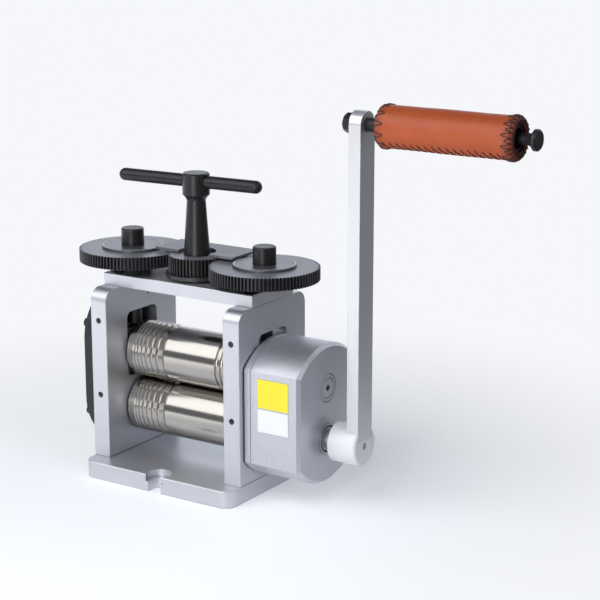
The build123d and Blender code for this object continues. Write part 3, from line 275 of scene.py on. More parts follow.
def mesh_piece(
    name: str,
    points: Array,
    faces: Array,
    material: Material,
    crease_degrees: float = 40.0,
) -> Piece:
    """Puts worked out points and faces into a new smooth shaded piece.

    Args:
        name: the piece's name.
        points: vertex positions, one row each.
        faces: vertex numbers, one row for each face.
        material: its finish.
        crease_degrees: edges sharper than this stay crisp.

    Returns:
        The new object, at the origin.
    """
    mesh = bpy.data.meshes.new(name)
    mesh.from_pydata(points.reshape(-1, 3).tolist(), [], faces.tolist())
    mesh.materials.append(material)
    mesh.shade_smooth()
    mesh.set_sharp_from_angle(angle=math.radians(crease_degrees))
    return put_in_scene(name, mesh)


def grid_faces(rows: int, columns: int, wrap_rows: bool, wrap_columns: bool) -> Array:
    """Faces of a grid of points: each joins four neighbours, and a wrapped side closes.

    Args:
        rows: how many rows of points.
        columns: how many points in a row.
        wrap_rows: whether the last row joins the first.
        wrap_columns: whether a row's last point joins its first.

    Returns:
        Four vertex numbers for each face.
    """
    r = np.arange(rows if wrap_rows else rows - 1)[:, None]
    c = np.arange(columns if wrap_columns else columns - 1)[None, :]
    r2 = (r + 1) % rows
    c2 = (c + 1) % columns
    corners = (r * columns + c, r * columns + c2, r2 * columns + c2, r2 * columns + c)
    return np.stack([np.broadcast_to(k, (r.size, c.size)).ravel() for k in corners], axis=1)


def sweep_tubes(
    lines: Array, ups: Array, radius: Array, sides: int = 8
) -> tuple[Array, Array]:
    """Carries a circle along many lines at once.

    A ring's points are the line's point plus the radius times (cosine of the turn
    times the line's up direction plus sine of the turn times its sideways one), and
    both ends shrink to a point.

    Args:
        lines: points of each line, shaped (lines, steps, 3).
        ups: unit directions that stand up from each point, in the same shape.
        radius: radius at each step, which is zero at both ends.
        sides: points round each ring.

    Returns:
        Vertex positions and four vertex numbers for each face.
    """
    count, steps, _ = lines.shape
    along = np.gradient(lines, axis=1)
    along /= np.linalg.norm(along, axis=2, keepdims=True)
    side = np.cross(along, ups)
    side /= np.linalg.norm(side, axis=2, keepdims=True)
    up = np.cross(side, along)
    turn = np.linspace(0, 2 * np.pi, sides, endpoint=False)
    ring = (
        up[:, :, None, :] * np.cos(turn)[None, None, :, None]
        + side[:, :, None, :] * np.sin(turn)[None, None, :, None]
    )
    points = lines[:, :, None, :] + ring * radius[None, :, None, None]
    one = grid_faces(steps, sides, False, True)
    starts = (np.arange(count) * steps * sides)[:, None, None]
    faces = (one[None, :, :] + starts).reshape(-1, 4)
    return points.reshape(-1, 3), faces


# ------------------------------------------------------------------- finishes
class Lay(Enum):
    """The direction that a machined surface's marks take."""

    BLASTED = "blasted"
    TURNED_X = "turned about X"
    TURNED_Z = "turned about Z"
    DRAWN_X = "drawn along X"
    DRAWN_Z = "drawn along Z"


@dataclass(frozen=True)
class MetalFinish:
    """A machined metal surface: its colour, its gloss and the marks of its making."""

    name: str
    colour: str
    shade: str
    roughness: float
    lay: Lay
    metallic: float = 1.0
    roughness_spread: float = 0.06
    grain_mm: float = 0.8
    relief_mm: float = 0.01
    cloud_mm: float = 30.0
    cloud_share: float = 0.25
    contrast: float = 0.5
    edge_mm: float = 0.35
    edge_colour: str | None = None
    centre_mm: tuple[float, float, float] = (0.0, 0.0, 0.0)
    crevice_mm: float = 1.2
    crevice: float = 0.35
    brushed: float = 0.0
    brush_turn: float = 0.25

    def marks(self, tree: Tree, place: Socket) -> Socket:
        """Draws the marks of the tool.

        Turned marks are rings: one line of noise is read at the distance along the
        axis plus the distance from it. Drawn marks are noise stretched forty times
        along one axis, and blasted ones are the same noise every way.

        Args:
            tree: the material's tree.
            place: position from the centre of the marks.

        Returns:
            A socket from 0 to 1.
        """
        if self.lay in (Lay.TURNED_X, Lay.TURNED_Z):
            across = (0.0, 1.0, 1.0) if self.lay is Lay.TURNED_X else (1.0, 1.0, 0.0)
            along = "X" if self.lay is Lay.TURNED_X else "Z"
            radius = flat_length(tree, place, across)
            split = add_node(tree, "ShaderNodeSeparateXYZ", {0: place})
            reach = calc(tree, "ADD", split.outputs[along], radius)
            rings = add_node(tree, "ShaderNodeTexNoise",
                             {"W": reach, "Scale": 1.0 / (self.grain_mm * MM), "Detail": 3.0,
                              "Roughness": 0.65}, noise_dimensions="1D")
            return rings.outputs[0]
        stretch = {Lay.DRAWN_X: (0.025, 1.0, 1.0), Lay.DRAWN_Z: (1.0, 1.0, 0.025)}
        scaled = add_node(tree, "ShaderNodeMapping",
                          {"Vector": place, "Scale": stretch.get(self.lay, (1.0, 1.0, 1.0))})
        return noise(tree, scaled.outputs[0], self.grain_mm, 4.0, 0.6)

    def tint(
        self, tree: Tree, place: Socket, colour: Socket
    ) -> Socket:
        """Lets a finish that inherits this one change the colour by place."""
        return colour

    def material(self) -> Material:
        """Builds the finish.

        Returns:
            The material.
        """
        material, tree = blank_material(self.name)
        read = add_node(tree, "ShaderNodeTexCoord")
        middle = tuple(-v * MM for v in self.centre_mm)
        place = add_node(tree, "ShaderNodeMapping",
                         {"Vector": read.outputs["Object"], "Location": middle}).outputs[0]
        marks = self.marks(tree, place)
        low = 0.5 - 0.3 * self.contrast
        spread = remap(tree, marks, 0.3, 0.7, low, 1.0 - low)
        cloud = noise(tree, place, self.cloud_mm, 3.0)
        share = mix_values(tree, self.cloud_share, spread, cloud)
        colour = mix_colours(tree, share, linear(self.shade), linear(self.colour))
        colour = self.tint(tree, place, colour)
        rounded = add_node(tree, "ShaderNodeBevel", {"Radius": self.edge_mm * MM}, samples=4)
        # Edges are painted lighter where the rounded normal turns from the true one: partly wear,
        # partly a painted highlight.
        if self.edge_colour:
            true = add_node(tree, "ShaderNodeNewGeometry")
            dot = add_node(tree, "ShaderNodeVectorMath",
                           {0: rounded.outputs[0], 1: true.outputs["Normal"]},
                           operation="DOT_PRODUCT")
            wear_and_highlight = remap(tree, dot.outputs["Value"], 0.995, 0.9, 0.0, 0.85)
            colour = mix_colours(tree, wear_and_highlight, colour, linear(self.edge_colour))
        # Painted shade: ambient occlusion darkens the colour in crevices and where parts meet.
        hidden = add_node(tree, "ShaderNodeAmbientOcclusion",
                          {"Distance": self.crevice_mm * MM}, samples=4)
        open_share = remap(tree, hidden.outputs["AO"], 0.3, 0.9, self.crevice, 1.0)
        colour = mix_colours(tree, 1.0, colour, open_share, blend_type="MULTIPLY")
        rough = remap(tree, share, 0.3, 0.7, self.roughness + self.roughness_spread,
                      self.roughness - self.roughness_spread)
        bump = add_node(tree, "ShaderNodeBump",
                        {"Height": marks, "Distance": self.relief_mm * MM, "Strength": 1.0,
                         "Normal": rounded.outputs[0]})
        inputs = {"Base Color": colour, "Metallic": self.metallic, "Roughness": rough,
                  "Normal": bump.outputs[0]}
        if self.brushed:
            rings = add_node(tree, "ShaderNodeTangent", direction_type="RADIAL", axis="X")
            inputs.update({"Anisotropic": self.brushed, "Anisotropic Rotation": self.brush_turn,
                           "Tangent": rings.outputs[0]})
        surface(tree, inputs)
        return material


@dataclass(frozen=True)
class GearFinish(MetalFinish):
    """Black oxide on a gear, with a painted highlight on the lands of the teeth and a painted sheen
    on the top face.
    """

    tip_mm: float = 42.3
    top_mm: float = 175.5
    land_colour: str = "444446"
    top_colour: str = "97989F"

    def tint(
        self, tree: Tree, place: Socket, colour: Socket
    ) -> Socket:
        """Paints a highlight on the last third of a millimetre of the teeth, and a sheen on the top
        face.
        """
        radius = flat_length(tree, place, (1.0, 1.0, 0.0))
        # Painted highlight on the lands of the teeth.
        land = remap(tree, radius, (self.tip_mm - 0.35) * MM, (self.tip_mm - 0.05) * MM, 0.0, 0.9)
        colour = mix_colours(tree, land, colour, linear(self.land_colour))
        # Painted sheen on the top face.
        height = add_node(tree, "ShaderNodeSeparateXYZ", {0: place}).outputs["Z"]
        top = remap(tree, height, (self.top_mm - 0.06) * MM, (self.top_mm - 0.03) * MM, 0.0, 0.9)
        return mix_colours(tree, top, colour, linear(self.top_colour))


@dataclass(frozen=True)
class CoatedFinish:
    """A thin layer over something else: paint, label film, rubber or plastic.

    Its colour wanders a little between two hex values, and a fine orange peel of
    the given size lifts its surface.
    """

    name: str
    colour: str
    shade: str
    roughness: float
    peel_mm: float = 1.2
    peel_height_mm: float = 0.02
    cloud_mm: float = 18.0
    edge_mm: float = 0.3
    coat: float = 0.0

    def material(self) -> Material:
        """Builds the finish.

        Returns:
            The material.
        """
        material, tree = blank_material(self.name)
        place = add_node(tree, "ShaderNodeTexCoord").outputs["Object"]
        cloud = noise(tree, place, self.cloud_mm, 5.0)
        colour = mix_colours(tree, cloud, linear(self.shade), linear(self.colour))
        rough = remap(tree, cloud, 0.3, 0.7, self.roughness - 0.05, self.roughness + 0.05)
        rounded = add_node(tree, "ShaderNodeBevel", {"Radius": self.edge_mm * MM}, samples=4)
        bump = add_node(tree, "ShaderNodeBump",
                        {"Height": noise(tree, place, self.peel_mm, 3.0),
                         "Distance": self.peel_height_mm * MM, "Strength": 1.0,
                         "Normal": rounded.outputs[0]})
        surface(tree, {"Base Color": colour, "Roughness": rough, "Normal": bump.outputs[0],
                       "Coat Weight": self.coat})
        return material


@dataclass(frozen=True)
class LeatherFinish:
    """Smooth tanned hide: fine pebbled grain, warm drift of colour, darker towards both ends."""

    name: str = "tanned hide"
    colour: str = "BC582A"
    shade: str = "A04520"
    worked: str = "70301E"
    pebble_mm: float = 0.9
    pore_mm: float = 0.5
    drift_mm: float = 14.0
    wander_mm: float = 4.0
    relief_mm: float = 0.035
    specular: float = 0.45
    roughness: float = 0.42
    start: float = 0.165
    end: float = 0.2725
    worked_mm: float = 7.0

    def material(self) -> Material:
        """Builds the finish.

        Returns:
            The material.
        """
        material, tree = blank_material(self.name)
        place = add_node(tree, "ShaderNodeTexCoord").outputs["Object"]
        drift = noise(tree, place, self.drift_mm, 4.0)
        colour = mix_colours(tree, drift, linear(self.shade), linear(self.colour))
        split = add_node(tree, "ShaderNodeSeparateXYZ", {0: place})
        # Darker colour towards both ends of the sleeve, over a wandering reach.
        half = (self.end - self.start) / 2
        off = calc(tree, "SUBTRACT", split.outputs["X"], self.start + half)
        away = calc(tree, "ABSOLUTE", off)
        wander = calc(tree, "MULTIPLY_ADD", drift, self.wander_mm * MM, away)
        near = remap(tree, wander, half - (self.worked_mm - 0.5) * MM, half + 2.0 * MM, 0.0, 0.75)
        toned = mix_colours(tree, near, colour, linear(self.worked))
        pebble = add_node(tree, "ShaderNodeTexVoronoi",
                          {"Vector": place, "Scale": 1.0 / (self.pebble_mm * MM)},
                          feature="SMOOTH_F1")
        pore = noise(tree, place, self.pore_mm, 4.0)
        height = calc(tree, "ADD", pebble.outputs["Distance"], pore)
        bump = add_node(tree, "ShaderNodeBump",
                        {"Height": height, "Distance": self.relief_mm * MM, "Strength": 0.7})
        rough = remap(tree, drift, 0.3, 0.7, self.roughness - 0.05, self.roughness + 0.08)
        surface(tree, {"Base Color": toned, "Roughness": rough, "Normal": bump.outputs[0],
                       "Specular IOR Level": self.specular})
        return material


@dataclass(frozen=True)
class FloorFinish:
    """White studio paper: its colour shows nearly white and it keeps soft shadows."""

    name: str = "white studio paper"
    colour: str = "F4F6FA"
    white: float = 0.955
    lit: float = 0.7
    near: float = 0.13
    far: float = 0.52
    glow_colour: str = "FBFCFF"
    left_x: float = -0.35
    right_x: float = 0.4
    left_gloss: float = 1.65
    right_gloss: float = 0.17
    dark_y: float = -1.9
    light_y: float = -1.4
    front_gloss: float = 0.1

    def material(self) -> Material:
        """Builds the finish.

        For the camera, gloss and glass a glow tops the lit paper up to white: near the
        mill by what the lamps leave, so that its shadow stays, and far away by all of
        it. In gloss the glow falls off from left to right and far in front, as it does
        over a table in a dark studio.

        Returns:
            The material.
        """
        material, tree = blank_material(self.name)
        place = add_node(tree, "ShaderNodeTexCoord").outputs["Object"]
        away = flat_length(tree, place, (1.0, 1.0, 1.0))
        split = add_node(tree, "ShaderNodeSeparateXYZ", {0: place})
        path = add_node(tree, "ShaderNodeLightPath")
        seen = calc(tree, "MAXIMUM", path.outputs["Is Camera Ray"],
                    path.outputs["Is Glossy Ray"])
        seen = calc(tree, "MAXIMUM", seen, path.outputs["Is Transmission Ray"])
        share = remap(tree, away, self.near, self.far, smooth=True)
        share = calc(tree, "MULTIPLY", seen, share)
        glow = calc(tree, "MULTIPLY_ADD", share, self.lit, self.white - self.lit)
        glow = calc(tree, "MULTIPLY", glow, seen)
        right = remap(tree, split.outputs["X"], self.left_x, self.right_x,
                      self.left_gloss, self.right_gloss, smooth=True)
        front = remap(tree, split.outputs["Y"], self.dark_y, self.light_y,
                      self.front_gloss, 1.0, smooth=True)
        dim = calc(tree, "MULTIPLY", right, front)
        dim = mix_values(tree, path.outputs["Is Glossy Ray"], 1.0, dim)
        glow = calc(tree, "MULTIPLY", glow, dim)
        paper = add_node(tree, "ShaderNodeBsdfDiffuse", {"Color": linear(self.colour)})
        none = add_node(tree, "ShaderNodeEmission", {"Strength": 0.0})
        left = add_node(tree, "ShaderNodeMixShader",
                        {0: share, 1: paper.outputs[0], 2: none.outputs[0]})
        white = add_node(tree, "ShaderNodeEmission",
                         {"Color": linear(self.glow_colour), "Strength": glow})
        both = add_node(tree, "ShaderNodeAddShader", {0: left.outputs[0], 1: white.outputs[0]})
        add_node(tree, "ShaderNodeOutputMaterial", {"Surface": both.outputs[0]})
        return material


# Fine blasted and satin plated steel: an even pale grey with a soft, broad gloss.
PLATE_STEEL = MetalFinish(
    name="satin blasted steel", colour="D8DAE0", shade="C5C7CE", roughness=0.4,
    lay=Lay.BLASTED, metallic=0.85, grain_mm=0.9, relief_mm=0.012, contrast=0.5, edge_mm=0.15)
# Bead blasted aluminium: coarser, with a grain that glitters where light grazes it.
BLASTED_ALUMINIUM = MetalFinish(
    name="bead blasted aluminium", colour="DCDDE4", shade="BCBEC7", roughness=0.44,
    lay=Lay.BLASTED, metallic=0.85, grain_mm=1.1, relief_mm=0.035, contrast=0.9, edge_mm=0.2)
# Ground roll steel: near mirror, slightly warm, with rings left by the wheel. The rings
# are finer in the real thing and are drawn 0.8 mm apart so that they show.
ROLL_STEEL_LOWER = MetalFinish(
    name="ground roll steel lower", colour="C0BDB8", shade="A09C96", roughness=0.19,
    lay=Lay.TURNED_X, roughness_spread=0.03, grain_mm=0.8, relief_mm=0.0012, cloud_share=0.2,
    contrast=0.4, edge_mm=0.1, brushed=0.55, centre_mm=(0.0, 0.0, 49.0))
ROLL_STEEL_UPPER = replace(
    ROLL_STEEL_LOWER, name="ground roll steel upper", centre_mm=(0.0, 0.0, 94.4))
# Bright drawn flat bar: a light satin face with long faint lines.
DRAWN_BAR = MetalFinish(
    name="bright drawn steel bar", colour="E8E9EC", shade="DCDDE2", roughness=0.36,
    lay=Lay.DRAWN_Z, metallic=0.85, grain_mm=0.8, relief_mm=0.004, contrast=0.4)
# The same steel turned in a lathe, with painted shade that reaches further and goes darker in its
# crevices.
TURNED_BRIGHT = MetalFinish(
    name="bright turned steel", colour="D6D8DC", shade="BCBEC4", roughness=0.33,
    lay=Lay.TURNED_X, metallic=0.85, grain_mm=0.9, relief_mm=0.004, contrast=0.5,
    centre_mm=(0.0, 0.0, 49.0), crevice_mm=2.5, crevice=0.12)
# The hub, blasted to a pale matt skin.
MATT_HUB = MetalFinish(
    name="pale blasted hub", colour="F4F5F7", shade="EAEBEE", roughness=0.5,
    lay=Lay.BLASTED, metallic=0.25, grain_mm=0.9, relief_mm=0.006, contrast=0.4)
# The sliding blocks: oiled steel gone brown, with darker painted shade in its crevices.
BLOCK_STEEL = MetalFinish(
    name="oiled block steel", colour="7A736B", shade="5A544E", roughness=0.34,
    lay=Lay.BLASTED, metallic=0.9, grain_mm=0.9, relief_mm=0.01, contrast=0.6, crevice=0.15)
# Chemical black on turned steel: near black, semi gloss, a fine speckle from the bath.
# Its edges are painted lighter, partly wear and partly a painted highlight.
BLACK_OXIDE = MetalFinish(
    name="black oxide on steel", colour="38383B", shade="1E1E20", roughness=0.36,
    lay=Lay.BLASTED, metallic=0.55, grain_mm=1.0, relief_mm=0.02, cloud_mm=12.0,
    contrast=0.9, edge_mm=0.4, edge_colour="5A5754")
# The black pointer plate is given a mid grey colour: a painted sheen for the pale room that its
# glossy top reflects.
BLACK_SHEET_PAINTED_SHEEN = MetalFinish(
    name="black oxide on sheet, painted sheen", colour="808288", shade="6E7076", roughness=0.38,
    lay=Lay.DRAWN_X, metallic=0.6, grain_mm=0.9, relief_mm=0.006, contrast=0.6)
# The gears' tooth lands and top faces carry a painted highlight and a painted sheen.
GEAR_LEFT = GearFinish(
    name="black oxide on left gear", colour="34343A", shade="232327", roughness=0.4,
    lay=Lay.TURNED_Z, metallic=0.5, grain_mm=0.9, relief_mm=0.004, contrast=0.7,
    centre_mm=(-63.0, 0.0, 0.0))
GEAR_RIGHT = replace(
    GEAR_LEFT, name="black oxide on right gear", centre_mm=(63.0, 0.0, 0.0))
GEAR_CENTRE = GearFinish(
    name="black oxide on centre gear", colour="2E2E33", shade="1E1E21", roughness=0.38,
    lay=Lay.TURNED_Z, metallic=0.5, grain_mm=0.9, relief_mm=0.004, contrast=0.7, tip_mm=22.5,
    top_mm=177.0)
# The black dial is given a mid grey colour: a painted sheen for the pale room that its gloss
# reflects.
DIAL_FACE_PAINTED_SHEEN = MetalFinish(
    name="black anodised dial, painted sheen", colour="6E7076", shade="606267", roughness=0.3,
    lay=Lay.BLASTED, metallic=0.6, grain_mm=1.2, relief_mm=0.004, contrast=0.4)
# Hobbed and oiled steel, bronze and spring wire: mostly hidden inside the mill.
OILED_GEAR = MetalFinish(
    name="oiled gear steel", colour="8E8E92", shade="6A6964", roughness=0.3,
    lay=Lay.TURNED_X, grain_mm=0.8, relief_mm=0.006, contrast=0.8)
TURNED_BRONZE = MetalFinish(
    name="turned bronze", colour="B58A4E", shade="8F6A38", roughness=0.3,
    lay=Lay.TURNED_X, grain_mm=0.7, relief_mm=0.004, contrast=0.7)
SPRING_WIRE = MetalFinish(
    name="spring wire", colour="A9ABAF", shade="85868A", roughness=0.28,
    lay=Lay.BLASTED, grain_mm=0.6, relief_mm=0.004)
# Stoved black enamel on the pressed cover.
COVER_ENAMEL = CoatedFinish(
    name="black stove enamel", colour="191C22", shade="131519", roughness=0.5,
    peel_mm=1.6, peel_height_mm=0.03, edge_mm=0.6)
YELLOW_FILM = CoatedFinish(
    name="yellow label film", colour="FCE934", shade="F8E02A", roughness=0.35,
    peel_mm=5.0, peel_height_mm=0.02, edge_mm=0.05, coat=0.2)
WHITE_FILM = replace(YELLOW_FILM, name="white label film", colour="F2F3F5", shade="E9EAEE")
RUBBER_GASKET = CoatedFinish(
    name="rubber gasket", colour="1C1D20", shade="141517", roughness=0.7)
MOULDED_CORE = CoatedFinish(
    name="moulded core", colour="1E1714", shade="15100E", roughness=0.55)
WAXED_THREAD = CoatedFinish(
    name="waxed thread", colour="4A2620", shade="2A1512", roughness=0.5,
    peel_mm=0.8, peel_height_mm=0.12, cloud_mm=3.0, edge_mm=0.05)
# The white ring at each dial's rim is print, and also a painted highlight where the rim's chamfer
# catches light.
RIM_PRINT_AND_HIGHLIGHT = CoatedFinish(
    name="white dial print and painted rim highlight", colour="F0F0F0", shade="DADADC", roughness=0.5,
    edge_mm=0.02)
FAINT_PRINT = replace(RIM_PRINT_AND_HIGHLIGHT, name="faint dial print", colour="A9ABB0", shade="8C8E94")


# --------------------------------------------------------------- sub-assemblies
@dataclass(frozen=True)
class MillFrame:
    """The plates, their screws and nuts, and the cover over the coupling gears."""

    plates: tuple[str, ...] = ("base_plate", "left_side_plate", "right_side_plate", "top_plate")
    black_screws: tuple[str, ...] = (
        "base_screws", "top_plate_screws", "left_cover_screws", "pointer_screws")

    def dress(self, frame: dict) -> None:
        """Dresses the plates and what is fixed to them."""
        dress(frame, self.plates, PLATE_STEEL.material())
        dress(frame, self.black_screws, BLACK_OXIDE.material())
        dress(frame, ("left_screw_nut", "right_screw_nut"), PLATE_STEEL.material())
        dress(frame, ("left_gear_cover",), COVER_ENAMEL.material())


@dataclass(frozen=True)
class Gearbox:
    """The two case halves, their gasket, the train inside and two blank stickers."""

    def dress(self, frame: dict) -> None:
        """Dresses the gearbox."""
        dress(frame, ("gearbox_back_plate", "gearbox_cover"), BLASTED_ALUMINIUM.material())
        dress(frame, ("gearbox_gasket",), RUBBER_GASKET.material())
        dress(frame, ("gearbox_screws",), BLACK_OXIDE.material())
        dress(frame, ("layshaft_pin", "layshaft_ring", "crank_bearing"),
              TURNED_BRIGHT.material())
        dress(frame, ("yellow_sticker",), YELLOW_FILM.material())
        dress(frame, ("white_sticker",), WHITE_FILM.material())
        dress(frame, ("layshaft_gears", "lower_drive_wheel", "crank_pinion"),
              OILED_GEAR.material())


@dataclass(frozen=True)
class RollSet:
    """Both rolls, their coupling gears, keys, bushes, blocks and lift springs."""

    def dress(self, frame: dict) -> None:
        """Dresses the rolls and what carries them."""
        dress(frame, ("lower_roll",), ROLL_STEEL_LOWER.material())
        dress(frame, ("upper_roll",), ROLL_STEEL_UPPER.material())
        dress(frame, ("lower_coupling_gear", "upper_coupling_gear", "lower_roll_keys",
                      "upper_roll_key"), OILED_GEAR.material())
        dress(frame, ("left_bearing_block", "right_bearing_block"), BLOCK_STEEL.material())
        dress(frame, ("left_lower_bush", "right_lower_bush", "upper_bushes", "layshaft_bush",
                      "pilot_bush"), TURNED_BRONZE.material())
        dress(frame, ("pivot_bush",), TURNED_BRIGHT.material())
        dress(frame, ("lift_springs",), SPRING_WIRE.material())


@dataclass(frozen=True)
class AdjustingHead:
    """The three gears, the dials with their print, the screws and the pointer plate."""

    centres: float = 0.063
    dial_top: float = 0.1776
    print_height: float = 0.00006
    ring_outer: float = 0.0237
    ring_inner: float = 0.0229
    tick_outer: float = 0.0223
    long_tick: float = 0.0016
    short_tick: float = 0.0009
    tick_width: float = 0.0003
    numbers: int = 15
    steps: int = 60
    number_radius: float = 0.0185
    number_height: float = 0.0028

    def ring(self, outer: float, inner: float) -> tuple[Array, Array]:
        """A flat printed ring: two circles of points, one at each radius.

        Args:
            outer: outer radius.
            inner: inner radius.

        Returns:
            Points about the dial's centre at height 0, and faces that look up.
        """
        turn = np.linspace(0, 2 * np.pi, 180, endpoint=False)
        radii = np.array([outer, inner])[:, None]
        grid = np.stack([radii * np.cos(turn), radii * np.sin(turn), np.zeros((2, 180))], axis=2)
        return grid.reshape(-1, 3), grid_faces(2, 180, False, True)[:, ::-1]

    def ticks(self) -> tuple[Array, Array]:
        """Printed divisions: rectangles turned round the dial, every fourth one longer.

        Returns:
            Points about the dial's centre, and faces that look up.
        """
        index = np.arange(self.steps)
        turn = 2 * np.pi * index / self.steps
        length = np.where(index % 4 == 0, self.long_tick, self.short_tick)
        outer = np.full(self.steps, self.tick_outer)
        half = self.tick_width / 2
        along = np.stack([outer, outer, outer - length, outer - length], axis=1)
        across = np.array([-half, half, half, -half])[None, :]
        cos, sin = np.cos(turn)[:, None], np.sin(turn)[:, None]
        points = np.stack([along * cos - across * sin, along * sin + across * cos,
                           np.zeros((self.steps, 4))], axis=2)
        faces = np.arange(self.steps * 4).reshape(-1, 4)
        return points.reshape(-1, 3), faces

    def numerals(
        self, side: str, spot: Vector, material: Material
    ) -> list[Piece]:
        """Plain numbers round the dial, each turned to stand on its centre line.

        Args:
            side: which dial, for the pieces' names.
            spot: the middle of the dial's face.
            material: the print.

        Returns:
            One flat mesh piece for each number.
        """
        made = []
        for index in range(self.numbers):
            curve = bpy.data.curves.new(f"{side}_numeral_{index}", "FONT")
            curve.body = str(index)
            curve.size = self.number_height
            curve.align_x = "CENTER"
            curve.align_y = "CENTER"
            curve.resolution_u = 3
            text = put_in_scene(curve.name, curve)
            bpy.context.view_layer.update()
            mesh = bpy.data.meshes.new_from_object(text)
            bpy.data.objects.remove(text)
            turn = 2 * math.pi * index / self.numbers
            points = np.zeros(len(mesh.vertices) * 3)
            mesh.vertices.foreach_get("co", points)
            flat = points.reshape(-1, 3)
            away = flat[:, 1] + self.number_radius
            x = spot.x + away * math.cos(turn) + flat[:, 0] * math.sin(turn)
            y = spot.y + away * math.sin(turn) - flat[:, 0] * math.cos(turn)
            placed = np.stack([x, y, np.full(len(flat), spot.z)], axis=1)
            mesh.vertices.foreach_set("co", placed.ravel())
            mesh.materials.clear()
            mesh.materials.append(material)
            mesh.update()
            made.append(put_in_scene(f"{side}_numeral_{index}", mesh))
        return made

    def print_dial(
        self, side: str, x: float, material: Material, faint: Material
    ) -> None:
        """Prints one dial: a white ring at the rim, which is print and also a painted rim
        highlight, and faint divisions and numbers.

        Args:
            side: left or right.
            x: the dial's centre.
            material: the ring's print and painted highlight.
            faint: the divisions and numbers.
        """
        spot = Vector((x, 0.0, self.dial_top + self.print_height))
        ring_points, ring_faces = self.ring(self.ring_outer, self.ring_inner)
        tick_points, tick_faces = self.ticks()
        ring = mesh_piece(f"{side}_dial_ring", ring_points + np.array(spot), ring_faces, material)
        marks = mesh_piece(f"{side}_dial_marks", tick_points + np.array(spot), tick_faces, faint)
        for piece in [ring, marks] + self.numerals(side, spot, faint):
            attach(piece, f"{side}_gear_set")
        LOG.info("printed the %s dial", side)

    def dress(self, frame: dict) -> None:
        """Dresses the gears, dials, screws, spacers and pointer plate."""
        dress(frame, ("left_adjusting_gear",), GEAR_LEFT.material())
        dress(frame, ("right_adjusting_gear",), GEAR_RIGHT.material())
        dress(frame, ("centre_gear",), GEAR_CENTRE.material())
        dress(frame, ("left_dial", "right_dial"), DIAL_FACE_PAINTED_SHEEN.material())
        dress(frame, ("left_adjusting_screw", "right_adjusting_screw", "gear_spacers"),
              BLACK_OXIDE.material())
        dress(frame, ("pointer_plate",), BLACK_SHEET_PAINTED_SHEEN.material())

    def build(self) -> None:
        """Prints both dials."""
        rim_ink_and_highlight = RIM_PRINT_AND_HIGHLIGHT.material()
        faint = FAINT_PRINT.material()
        self.print_dial("left", -self.centres, rim_ink_and_highlight, faint)
        self.print_dial("right", self.centres, rim_ink_and_highlight, faint)


@dataclass(frozen=True)
class TeeHandle:
    """The tapered post, its sliding bar and the washer that holds it down."""

    def dress(self, frame: dict) -> None:
        """Dresses the handle."""
        dress(frame, ("handle_post", "tee_bar", "handle_retainer", "handle_retainer_screw"),
              BLACK_OXIDE.material())


@dataclass(frozen=True)
class Crank:
    """The shaft, hub and arm, and the spindle that the grip turns on."""

    def dress(self, frame: dict) -> None:
        """Dresses the crank."""
        dress(frame, ("crank_arm",), DRAWN_BAR.material())
        dress(frame, ("crank_hub",), MATT_HUB.material())
        dress(frame, ("crank_shaft",), TURNED_BRIGHT.material())
        dress(frame, ("hub_set_screw", "grip_spindle", "spindle_nut"), BLACK_OXIDE.material())
        dress(frame, ("grip_core",), MOULDED_CORE.material())


